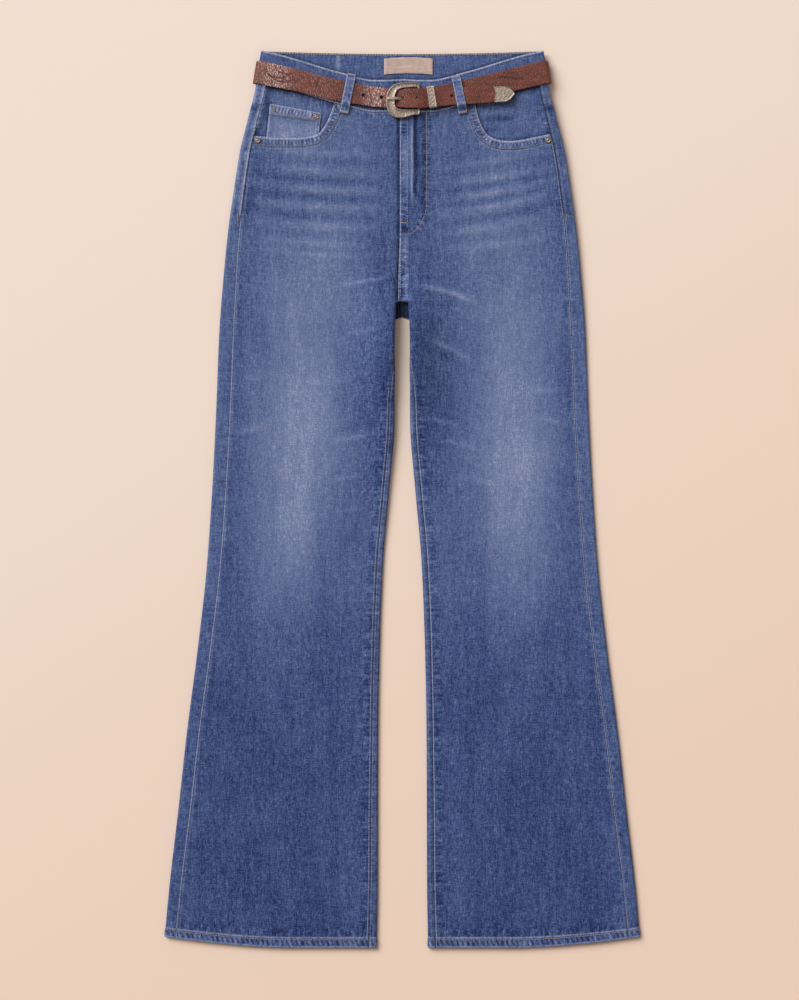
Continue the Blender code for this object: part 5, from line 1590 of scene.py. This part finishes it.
def make_waistband():
    """The waistband with its rims, seam hollows and the stitched edge."""
    points, v, run, _ = waistband_grid()
    d_top, d_low = (1 - v) * BAND_HEIGHT + 0 * run, v * BAND_HEIGHT + 0 * run
    relief = 0.35 * between(d_top, -1, 3.4, 1.2) - 0.35 * bell(d_top - 4, 0.8) - 0.6 * bell(d_top, 0.7)
    relief += -0.3 * bell(d_low - 2.6, 0.8) - 0.5 * bell(d_low, 0.8) + 0.15 * waves(run, 6 * v, (70, 33), 61)
    points = points + relief[..., None] * normals_of(points)
    marks = Marks(0.42 + 0.04 * waves(run, v * BAND_HEIGHT, (60, 28), 63))
    marks.seam(d_low, run + 0 * v, pale=0.85, pale_to=1.8, pucker=0.9, reach=7, darker=0.04)
    marks.seam(d_top, run + 0 * v, pale=0.8, pale_to=2.0, pucker=0.9, reach=6)
    x, h, z = np.moveaxis(points, -1, 0)
    # Painted shadow of the strap on the band's front.
    marks.dark = beside_belt(x, h) * (z > BAND_LEVEL) * (d_low > 1.6)
    # Painted shade on the back band's inside, just above the front band's top.
    marks.dark = marks.dark + 0.6 * bell(h - front_top(x) - 1.0, 2.2) * (z < BAND_LEVEL)
    marks.raise_to(pale=0.7 * bell(x - BAND_JOIN, 1.7) * (z < BAND_LEVEL))
    piece = shell("jeans_waistband", points, BAND_WALL, washed_denim(), marks, inside_wear=0.42)
    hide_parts("waistband")


def make_loop(name, face, top, low, ends, crest, run):
    """A belt loop: a strip sewn down at both ends that eases up over the belt between them."""
    top, low = np.array(top, float), np.array(low, float)
    length = np.linalg.norm(low - top)
    along = (low - top) / length
    sideways = np.array((-along[1], along[0])) * LOOP_WIDTH / 2
    spot = np.linspace(length, 0, 56)[:, None]
    across = np.linspace(-1, 1, 15)[None]
    high = ease((spot - run[0] + LOOP_RAMP) / LOOP_RAMP) * ease((run[1] + LOOP_RAMP - spot) / LOOP_RAMP)
    z = ends + (crest - ends) * high + face * LOOP_WALL + 0 * across
    d_edge = (1 - np.abs(across)) * LOOP_WIDTH / 2 + 0 * spot
    relief = -0.45 * bell(d_edge, 0.8) - 0.25 * bell(d_edge - 2.4, 0.6) + 0.2 * bell(across, 0.25)
    z = z + face * (relief + 0.12 * waves(spot, across * 5, (13, 7), 71))
    flat = top + along * spot[..., None] + sideways * face * across[..., None]
    marks = Marks(0.56 + 0.12 * waves(spot, across * 5, (15, 7), 73))
    marks.seam(d_edge, spot + 0 * across, pale=0.75, pale_to=1.3, pucker=1.3, reach=6)
    marks.raise_to(pale=0.6 * ((spot < 1.2) | (spot > length - 1.2)))
    piece = shell(name.replace("belt_loop", "loop"), np.dstack((flat, z)), LOOP_WALL, washed_denim(), marks)
    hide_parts(name)


def make_label():
    """The woven label: a thin arched strip with turned ends, slightly wavy."""
    across, up = np.linspace(-1, 1, 60)[None], np.linspace(0, 1, 22)[:, None]
    x = (LABEL["left"] + LABEL["right"]) / 2 + across * (LABEL["right"] - LABEL["left"]) / 2 + 0 * up
    h = LABEL["low"] + (LABEL["high"] - LABEL["low"]) * up + LABEL["arch"] * (1 - across**2)
    z = lift(h) - BAND_PROUD + BAND_WALL + GAP + THIN_WALL
    d_end = (1 - np.abs(across)) * LABEL_HALF + 0 * up
    d_rim = np.minimum(up, 1 - up) * LABEL_TALL + 0 * across
    z += 0.3 * between(d_end, 0.8, 5, 1) - 0.3 * bell(np.minimum(d_end, d_rim), 0.8)
    z += 0.22 * waves(x, h, (34, 19), 81)
    piece = shell("inside_label", np.dstack((x, h, z)), THIN_WALL, woven_label())
    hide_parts("waist_label")


# ---- fastenings ------------------------------------------------------------------------------------

def make_zip():
    """The zip: two tapes as one strip, with a row of interlocking teeth down the middle."""
    x = np.linspace(ZIP["inner"], ZIP["outer"], 12)[None]
    h = np.linspace(ZIP["low"], ZIP["high"], 50)[:, None]
    z = front_face(x + 0 * h, h + 0 * x) - DENIM - GAP - 0.5
    tape = np.stack((x + 0 * h, h + 0 * x, z), -1)
    piece = shell("zip_tapes", tape, DENIM * 0.6, woven_tape())
    rows = np.arange(ZIP["low"] + 3, ZIP["high"] - 2, TEETH["pitch"])
    box = np.array([(a, b, c) for c in (0, 0.4) for a, b in ((-1, -1), (1, -1), (1, 1), (-1, 1))], float)
    level = front_face(TEETH["x"], rows) - DENIM - GAP - 0.45
    middle = np.stack((TEETH["x"] + 0.5 * (-1.0) ** np.arange(len(rows)), rows, level), 1)
    teeth = middle[:, None] + box[None] * TEETH["half"]
    faces = np.concatenate((quads_of(2, 4, close_columns=True), [[3, 2, 1, 0], [4, 5, 6, 7]]))
    faces = (np.arange(len(rows))[:, None, None] * 8 + faces[None]).reshape(-1, 4)
    metal = new_piece("zip_teeth", teeth, faces.tolist(), engraved_metal(), sharp=30)
    for made in (piece, metal):
        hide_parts("fly_zip")


def make_rivets():
    """Pocket rivets: a turned cap with a raised rim, a hollow and a nub in the middle."""
    for name, (x, h) in RIVETS.items():
        side = "left" if x > 0 else "right"
        if name == "rivet_coin":
            ground = float(coin_height(np.array((x, h)))) + 0.15
        else:
            ground = float(front_face(x, h) + front_relief(side, np.array(abs(x)), np.array(h), FAR)) - 0.1
        points, faces = turned_profile((x, h), np.array(RIVET_PROFILE) + (0, ground))
        piece = face_outwards(new_piece(name.replace("rivet", "copper_rivet"), points, faces, copper_metal()))
        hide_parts(name)


def give_finish(node, material):
    """A better material on a node of the model that stays as it is."""
    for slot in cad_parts[node].material_slots:
        slot.material = material


# ---- belt ------------------------------------------------------------------------------------------

def metal_piece(name, points, faces, hollow, sharp=None):
    """An engraved piece; hollow says for each point how dark its patina is."""
    return face_outwards(new_piece(name, points, faces, engraved_metal(), {"hollow": hollow.ravel()}, sharp))


def round_bar(radius, turn, size):
    """Rows of a path bent round the buckle's bar, at angles turn in degrees."""
    x, h, z = BAR
    return [(x + radius * math.cos(a), h, z + radius * math.sin(a), 0, *size) for a in np.radians(turn)]


def belt_path():
    """The strap's rows: folded round the bar, left side, back, right side, and on to the tip."""
    bar_x, bar_h, bar_z = BAR
    start = (BUCKLE_END[0][4], 1.5)
    bend = round_bar(STRAP_BEND, np.linspace(-90, -270, 19), start)
    radius = float(depth(BELT_SIDE)) / 2
    hub, level = float(half_width(BELT_SIDE)) - radius, float(lift(BELT_SIDE)) + radius
    round_turns = np.linspace(0, math.pi, 25)

    def side_bend(sign, turns):
        return [(sign * (hub + BELT_REACH * math.sin(a)), BELT_SIDE, level + BELT_REACH * math.cos(a),
                 sign * SIDE_LEAN, BELT_WIDEST, BELT_WALL) for a in turns]
    back = [(x, BELT_BACK, level - BELT_REACH, 3 * x / 155, BELT_WIDEST - 0.4, BELT_WALL)
            for x in (155, 110, 60, 0, -60, -110, -155)]
    rows = [(bar_x + 6.4, bar_h, bar_z - STRAP_BEND, 0, *start), *bend, *BUCKLE_END]
    rows += side_bend(1, round_turns) + back + side_bend(-1, round_turns[::-1]) + list(TIP_END)
    return curved(rows, 1.15)


def make_strap():
    """The strap: a rounded section carried along its path, with creases, bulges and punched holes."""
    path = belt_path()
    section = rounded_section(20, 0.55, 9.0, dome=0.12)
    points, square = carried(path, section)
    x, h, z = points[..., 0], points[..., 1], points[..., 2]
    outer = (section[:, 1] > -0.2)[None] * ease((np.abs(square[:, 2:]) - 0.5) / 0.3)
    front = (path[:, 2] > STRAP_FRONT)[:, None]
    rise = 1.3 * creases(STRAP_CREASES, x, h) + 0.1 * waves(x, h, (23, 13), 91)
    rise = rise + 0.9 * bell(x + 27, 9) * (z < 17) - 0.3 * bell(x + 46, 7)
    first_half = np.arange(len(path)) < len(path) / 2
    under_tip = front & ((path[:, 0] > 45) & (path[:, 0] < 118) & first_half)[:, None]
    rise = np.where(under_tip, np.minimum(rise, 0), rise) * front * outer
    points = points + rise[..., None] * (0, 0, 1)
    lines = creases(STRAP_CREASES, x, h, 5, 0.8)
    # Painted highlights where the strap tilts towards the light, taken out in the creases, which are painted
    # dark.
    sheen = 0.95 * bell(x + 156, 18) + 0.95 * bell(x + 33, 13) + 0.2 * bell(x + 105, 20)
    sheen_and_crease_shade = front * outer * (sheen * np.clip(1 + 3 * lines, 0, 1) + 1.7 * lines)
    rows, columns = points.shape[:2]
    piece = new_piece("leather_strap", points, tube_faces(rows, columns), pebbled_leather(),
                      {"sheen_and_crease_shade": sheen_and_crease_shade.ravel()}, sharp=50)
    face_outwards(piece)
    radius = bpy.context.scene.jeans_belt.hole_radius / MM
    turns = np.arange(16) * math.pi / 8
    cutters = [cutter([(x + radius * math.cos(a), h + radius * math.sin(a)) for a in turns], low, STRAP_TOP)
               for x, h, low in HOLES]
    for start, end, low, high in PRONG_SLOTS:
        corners = ((start, -1), (end, -1), (end, 1), (start, 1))
        cutters.append(cutter([(x, BAR[1] + SLOT_HALF * sign) for x, sign in corners], low, high))
    cut_out(piece, cutters)
    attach(piece, BODY)
    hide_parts("belt_strap")


def engraving(run, across):
    """Height from 0 to 1 of a scroll pattern: curls of a wave along the run, swung by the way across."""
    curl = np.sin(run * 2 * math.pi / 4.6 + 2.2 * np.sin(across * 2.4))
    leaf = np.sin(run * 2 * math.pi / 2.3 - across * 3.0 + 1.3 * curl)
    return 0.5 + 0.3 * curl * np.cos(across * 2.2) + 0.25 * leaf


def make_frame():
    """The buckle's frame: a section with two raised rims and an engraved floor, carried round its path."""
    rows = np.array([(x, h, z, 0, wide, thick) for x, h, z, wide, thick in FRAME])
    loop = np.concatenate((rows[1:], rows[:1]))
    path = curved(loop, 0.55)
    bar = curved(np.concatenate((rows[:1], rows[1:2])), 0.9)[1:-1]
    path = np.concatenate((path, bar))
    a, b = np.array(FRAME_SECTION).T
    points, _ = carried(path, FRAME_SECTION, closed=True)
    run = run_along(path[:, :3])[:, None]
    cut = engraving(run, a[None] * path[:, 4:5] / 6)
    floor = ((np.abs(a) < 0.7) & (b > 0))[None] * ease((path[:, 4:5] - 4) / 2)
    points = points + (floor * (cut - 0.35) * 0.4)[..., None] * (0, 0, 1)
    hollow = np.clip(floor * (1.0 - cut) + 0.35 * ((np.abs(a) > 0.6) & (np.abs(a) < 0.8))[None], 0, 1)
    hollow = hollow + 0.3 * (b < -0.5)[None] + 0 * run
    faces = quads_of(len(path), len(a), close_rows=True, close_columns=True).tolist()
    piece = metal_piece("buckle_rim", points, faces, hollow)
    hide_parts("buckle_frame")


def make_prong():
    """The prong: bent round the bar and laid over the rim, thicker towards its end."""
    rows = round_bar(PRONG_BEND, np.linspace(215, 450, 24), PRONG_EYE)
    rows += [(x, BAR[1], z, 0, *PRONG_SIZE) for x, z in TONGUE]
    path = curved(rows, 0.5)
    section = rounded_section(8, 0.8, 2.2, dome=0.25)
    points, _ = carried(path, section)
    hollow = np.full(points.shape[:2], 0.12)
    piece = metal_piece("buckle_tongue", points, tube_faces(*points.shape[:2]), hollow, sharp=50)
    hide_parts("buckle_prong")


def make_keeper():
    """The keeper: a rounded band round both straps, engraved between two raised rims."""
    half, level = KEEPER["inside"] / 2 + KEEPER["wall"], (KEEPER["low"] + KEEPER["high"]) / 2
    tall, lean, corner = (KEEPER["high"] - KEEPER["low"]) / 2, math.radians(KEEPER_LEAN), KEEPER_CORNER
    turn = np.radians(np.linspace(0, 90, 5))
    arc = np.stack((half - corner + corner * np.cos(turn), tall - corner + corner * np.sin(turn)), 1)
    top = np.stack((np.linspace(1, -1, 40)[1:-1] * (half - corner), np.full(38, tall)), 1)
    upper = np.concatenate((arc, top, arc[::-1] * (-1, 1)))
    ring = np.concatenate((upper, upper[::-1] * (1, -1)))
    outward = ring / (half, tall)
    outward = np.sign(outward) * np.abs(outward) ** 9
    outward /= np.linalg.norm(outward, axis=1)[:, None]
    t = np.concatenate((np.linspace(-1, 1, 15), [1, 0.6, -0.6, -1]))[:, None]
    raised = np.concatenate((np.zeros(15), [-KEEPER["wall"]] * 4))[:, None]
    run = run_along(ring)[None]
    cut = engraving(run, t * 1.2)
    floor = (np.abs(t) < 0.78) * (raised == 0)
    rise = raised + floor * (cut * 0.32 - 0.3) + (raised == 0) * 0.15 * (np.abs(t) > 0.8) * (np.abs(t) < 0.98)
    flat = ring[None] + outward[None] * rise[..., None]
    x = t * KEEPER["width"] / 2 + 0 * run
    turned_x = x * math.cos(lean) - flat[..., 0] * math.sin(lean)
    turned_h = x * math.sin(lean) + flat[..., 0] * math.cos(lean)
    points = np.stack((KEEPER["x"] + turned_x, KEEPER["h"] + turned_h, level + flat[..., 1]), -1)
    hollow = np.clip(floor * (1 - cut), 0, 1) + 0 * run
    faces = quads_of(*points.shape[:2], close_rows=True, close_columns=True).tolist()
    piece = metal_piece("keeper_band", points, faces, hollow)
    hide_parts("belt_keeper")


def make_tip():
    """The metal tip: rings from its outline in to its middle, a raised rim round an engraved dome."""
    outline = along_line([*TIP_OUTLINE, TIP_OUTLINE[0]], 0.8)[:-1]
    middle = np.array(TIP_MIDDLE)
    low, high = TIP_Z
    shrink = np.array((0.97, 1, 1, 0.985, 0.96, 0.92, 0.88, 0.84, 0.76, 0.66, 0.56, 0.45, 0.34, 0.22, 0.1))
    level = np.array((low, low + 0.3, high - 1.2, high - 0.75, high - 0.5, high - 0.42, high - 0.6,
                      high - 0.75, *[high - 0.65] * 7))
    flat = middle + (outline - middle)[None] * shrink[:, None, None]
    cut = engraving(flat[..., 0] + flat[..., 1] * 0.5, (flat[..., 1] - middle[1]) / 3)
    floor = ease((0.86 - shrink) / 0.06)[:, None]
    z = level[:, None] + floor * (cut - 0.4) * 0.35
    rim = 0.5 * bell(shrink - 0.9, 0.05)[:, None]
    hollow = np.clip(floor * (1 - cut) + rim + 0.6 * (shrink > 0.95)[:, None], 0, 1)
    points = np.dstack((flat, z))
    piece = metal_piece("strap_tip", points, lidded_faces(*points.shape[:2]), hollow)
    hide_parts("belt_tip")


# ---- stitching -------------------------------------------------------------------------------------

def on_front(side, line, step=1.6, rise=0.1):
    """Points on a front's upper face along a line (x, h); x is counted towards that side."""
    line = along_line(np.array(line, float), step)
    x, h = line.T
    z = front_face(x, h) + front_relief(side, x, h, np.where(h > CROTCH_FRONT, x, FAR)) + rise
    return np.stack((SIGN[side] * x, h, z), 1)


def stitched_row(base):
    """The number of the grid's row at the hem's stitches."""
    return int(np.argmin(np.abs(base[:, 0] - HEM_BAND + HEM_INSET)))


def hem_paths(side):
    """The hem's stitches on a front and a back: their grids' row at the stitches, raised by its relief."""
    x, h, z, _, base = front_sheet(side)
    row = stitched_row(base)
    front = np.stack((x, h, z + hem_relief(base)), -1)
    found = [(front[row], normals_of(front)[row])]
    x, h, z, _, base, _ = back_sheet("back")
    row = stitched_row(base)
    back = np.stack((x, h, z), -1)
    lifted = back + (hem_relief(base) * resting(z, h))[..., None] * normals_of(back)
    found.append((lifted[row], normals_of(back)[row]))
    sign = (SIGN[side], 1, 1)
    return [(path * sign + normal * sign * np.where(normal[:, 2:] < -0.3, -0.6, 0.12), normal * sign)
            for path, normal in found]


def make_stitching():
    """All rows of stitches and bar tacks: tan topstitching and the pale stitches of the seams."""
    hem, tops, seams = Stitches(), Stitches(), Stitches()
    for side in SIDES:
        for path, normal in hem_paths(side):
            hem.line(path, normal, seed=3, radius=0.52, share=0.88)
        mouth = np.array(curved_line(SCOOP[side]))
        way = np.gradient(mouth, axis=0)
        way /= np.linalg.norm(way, axis=1)[:, None]
        for inset, seed, radius in ((SCOOP_BAND[side], 5, 0.42), (SCOOP_EDGE, 6, 0.34)):
            row = mouth + np.stack((way[:, 1], -way[:, 0]), 1) * inset
            keep = (row[:, 0] < side_seam(row[:, 1]) - 1.5) & (row[:, 1] < front_seam(row[:, 0]) - 1)
            tops.line(on_front(side, row[keep]), seed=seed, radius=radius)
        sign = SIGN[side]
        for low, high, inside in ((14, 1003 if side == "left" else 902, False), (10, 696, True)):
            h = np.linspace(low, high, 300)
            d_in = 1.1 if side == "left" else 2.3
            edge = smooth(LEG_GAP, h) + depth(h) / 2 + smooth(INSEAM, h) + GAP / 2 - math.pi * depth(h) / 2
            x = edge + d_in if inside else side_seam(h) - 1.2
            z = front_face(x, h) + front_relief(side, x, h, x - edge if inside else FAR + 0 * x) + 0.1
            h = leg_height(h, x)
            seams.line(np.stack((sign * x, h, z), 1), seed=19, radius=0.3, share=0.9)
        if side == "right":
            h = np.linspace(1004, 907, 60)
            level = lift(h) + depth(h) + 0.75
            tops.line(np.stack((sign * (side_seam(h) + 3.3), h, level), 1), seed=7, radius=0.28)
        level = float(lift(SIDE_TACK) + depth(SIDE_TACK)) + 0.8
        spot = (sign * (side_seam(SIDE_TACK) + 3.2), SIDE_TACK, level)
        hem.tack(spot, 90 - sign * 6, long=8.0, wide=1.8, radius=0.3)
    tops.line(on_front("left", FLY_STITCH), seed=9, radius=0.52)
    hem.tack(on_front("left", ((2.0, 899), (3.0, 899)))[0] + (0, 0, 0.2), 0, long=6.5, wide=2.2, radius=0.36)
    for top, low, seed, radius in CENTRE_STITCHES:
        seams.line(on_front("left", (top, low)), seed=seed, radius=radius)
    for share in (0.975, 0.83):
        spot = coin_point(np.linspace(0.02, 0.98, 60), share)
        tops.line(np.column_stack((spot, coin_height(spot) + 0.35)), seed=13)
    for across in (0.03, 0.93, 0.975):
        spot = coin_point(across, np.linspace(0.02, 0.82, 60))
        seams.line(np.column_stack((spot, coin_height(spot) + 0.15)), seed=14, radius=0.34)
    spot = coin_point(0.09, 0.91)
    tops.tack((*spot, float(coin_height(spot)) + 0.45), 82, long=6.0, wide=4.6)
    band, _, _, sizes = waistband_grid()
    square = normals_of(band)
    for v, stitches in ((0.905, tops), (0.065, seams)):
        place = np.array([np.stack([np.interp(v, np.linspace(0, 1, 30), band[:, j, k]) for k in range(3)])
                          for j in range(0, sum(sizes[:5]), 2)])
        up = square[BAND_ROW, 0:sum(sizes[:5]):2]
        stitches.line(place + up * 0.05, up, seed=15, share=0.86)
    x = np.linspace(-160, 160, 160)
    for drop, seed in ((0.6, 16), (1.9, 17)):
        h = back_top(x) - drop
        inside = np.stack((x, h, lift(h) - BAND_PROUD + BAND_WALL - 0.1), 1)
        tops.line(inside, seed=seed, radius=0.7, share=0.95)
    tops.tack((7.1, 1107.0, lift(1107.0) + BAND_WALL + 0.1), 0, long=9.5, wide=2.2)
    for face, top, low, ends, _, _ in LOOPS.values():
        top, low = np.array(top), np.array(low)
        along = (low - top) / np.linalg.norm(low - top)
        side = np.array((-along[1], along[0]))
        angle = math.degrees(math.atan2(side[1], side[0]))
        up = (0, 0, face)
        z = ends + face * (LOOP_WALL + 0.15)
        for middle, wide in ((top + along * 1.6, 2.2), (low - along * 1.7, 2.8)):
            tops.tack((*middle, z), angle, long=9.0, wide=wide, up=up, radius=0.5)
    hem.piece("hem_stitches", golden_thread())
    tops.piece("topstitches", tan_thread())
    seams.piece("seam_stitches", pale_thread())


# ---- stage -----------------------------------------------------------------------------------------

def aim(thing, spot, target):
    """Places a light or camera at a spot and turns it to look at a target."""
    thing.location = spot
    thing.rotation_euler = (Vector(target) - Vector(spot)).to_track_quat("-Z", "Y").to_euler()


def make_stage():
    """A pale floor, a broad soft light from the upper left, light from all round, and the view."""
    look = bpy.context.scene.jeans_stage
    ends = (-FLOOR_HALF, FLOOR_HALF)
    mesh = bpy.data.meshes.new("floor")
    mesh.from_pydata([(x, y, 0) for y in ends for x in ends], [], [(0, 1, 3, 2)])
    mesh.materials.append(painted_floor())
    floor = linked("floor", mesh)
    key = bpy.data.lights.new("key_light", "SUN")
    key.angle = math.radians(LIGHT_ANGLE)
    key.color = LIGHT_COLOUR
    key.energy = look.key_strength
    aim(linked("key_light", key), LIGHT_FROM, (0, 0, 0))
    world = bpy.data.worlds.new("studio")
    world.use_nodes = True
    ground = world.node_tree.nodes["Background"]
    ground.inputs["Color"].default_value = FILL_COLOUR
    ground.inputs["Strength"].default_value = look.fill
    bpy.context.scene.world = world
    bpy.context.scene.view_settings.view_transform = "Standard"
    view = bpy.data.cameras.new("view_from_above")
    view.sensor_fit, view.sensor_height, view.lens = "VERTICAL", SENSOR, LENS
    view.clip_end = VIEW_REACH
    camera = linked("view_from_above", view)
    camera.location = (*VIEW_SPOT, look.view_height * LENS / SENSOR + VIEW_LIFT)
    bpy.context.scene.camera = camera


# ---- operators -------------------------------------------------------------------------------------

class MakeOperator:
    """What the operators share: they run one making function."""

    bl_options = {"REGISTER", "UNDO"}

    def execute(self, context):
        self.make()
        return {"FINISHED"}


class JEANS_OT_fronts(MakeOperator, bpy.types.Operator):
    """Make both front legs with their pocket mouths."""

    bl_idname = "jeans.fronts"
    bl_label = "Front legs"

    def make(self):
        for side in SIDES:
            make_front(side)


class JEANS_OT_backs(MakeOperator, bpy.types.Operator):
    """Make both back legs and yokes, wrapped round the folds."""

    bl_idname = "jeans.backs"
    bl_label = "Back legs and yokes"

    def make(self):
        for side in SIDES:
            make_back("back", side)
            make_back("yoke", side)


class JEANS_OT_pockets(MakeOperator, bpy.types.Operator):
    """Make the pocket facings, the coin pocket and the back pockets."""

    bl_idname = "jeans.pockets"
    bl_label = "Pockets"

    def make(self):
        make_coin_pocket()
        for side in SIDES:
            make_facing(side)
            make_back_pocket(side)


class JEANS_OT_waistband(MakeOperator, bpy.types.Operator):
    """Make the waistband, its belt loops and the woven label."""

    bl_idname = "jeans.waistband"
    bl_label = "Waistband, loops and label"

    def make(self):
        make_waistband()
        for name, shape in LOOPS.items():
            make_loop(name, *shape)
        make_label()


class JEANS_OT_fastenings(MakeOperator, bpy.types.Operator):
    """Make the zip and rivets, and finish the slider and button."""

    bl_idname = "jeans.fastenings"
    bl_label = "Zip, button and rivets"

    def make(self):
        make_zip()
        make_rivets()
        give_finish("zip_slider", engraved_metal())
        give_finish("waist_button", copper_metal())


class JEANS_OT_stitching(MakeOperator, bpy.types.Operator):
    """Make all rows of stitches and the bar tacks."""

    bl_idname = "jeans.stitching"
    bl_label = "Stitching"

    def make(self):
        make_stitching()


class JEANS_OT_belt(MakeOperator, bpy.types.Operator):
    """Make the leather strap."""

    bl_idname = "jeans.belt"
    bl_label = "Belt strap"

    def make(self):
        make_strap()


class JEANS_OT_buckle(MakeOperator, bpy.types.Operator):
    """Make the buckle, its prong, the keeper and the strap's metal tip."""

    bl_idname = "jeans.buckle"
    bl_label = "Buckle, keeper and tip"

    def make(self):
        make_frame()
        make_prong()
        make_keeper()
        make_tip()


class JEANS_OT_stage(MakeOperator, bpy.types.Operator):
    """Make the floor, the lights and the view from above."""

    bl_idname = "jeans.stage"
    bl_label = "Stage"

    def make(self):
        make_stage()


STEPS = (JEANS_OT_fronts, JEANS_OT_backs, JEANS_OT_pockets, JEANS_OT_waistband, JEANS_OT_fastenings,
         JEANS_OT_stitching, JEANS_OT_belt, JEANS_OT_buckle, JEANS_OT_stage)
SETTINGS = {"jeans_denim": DenimSettings, "jeans_belt": BeltSettings, "jeans_stage": StageSettings}


class JEANS_PT_panel(bpy.types.Panel):
    """Lists the settings and the steps."""

    bl_idname = "JEANS_PT_panel"
    bl_label = "Wide leg jeans"
    bl_space_type = "VIEW_3D"
    bl_region_type = "UI"
    bl_category = "Jeans"

    def draw(self, context):
        for name, group in SETTINGS.items():
            box = self.layout.box()
            for key in group.__annotations__:
                box.prop(getattr(context.scene, name), key)
        for step in STEPS:
            self.layout.operator(step.bl_idname)


def register():
    for made in (*SETTINGS.values(), *STEPS, JEANS_PT_panel):
        bpy.utils.register_class(made)
    for name, group in SETTINGS.items():
        setattr(bpy.types.Scene, name, PointerProperty(type=group))


def unregister():
    for name in SETTINGS:
        delattr(bpy.types.Scene, name)
    for made in reversed((*SETTINGS.values(), *STEPS, JEANS_PT_panel)):
        bpy.utils.unregister_class(made)


def main():
    register()
    for step in STEPS:
        group, name = step.bl_idname.split(".")
        getattr(getattr(bpy.ops, group), name)()


if __name__ == "__main__":
    main()
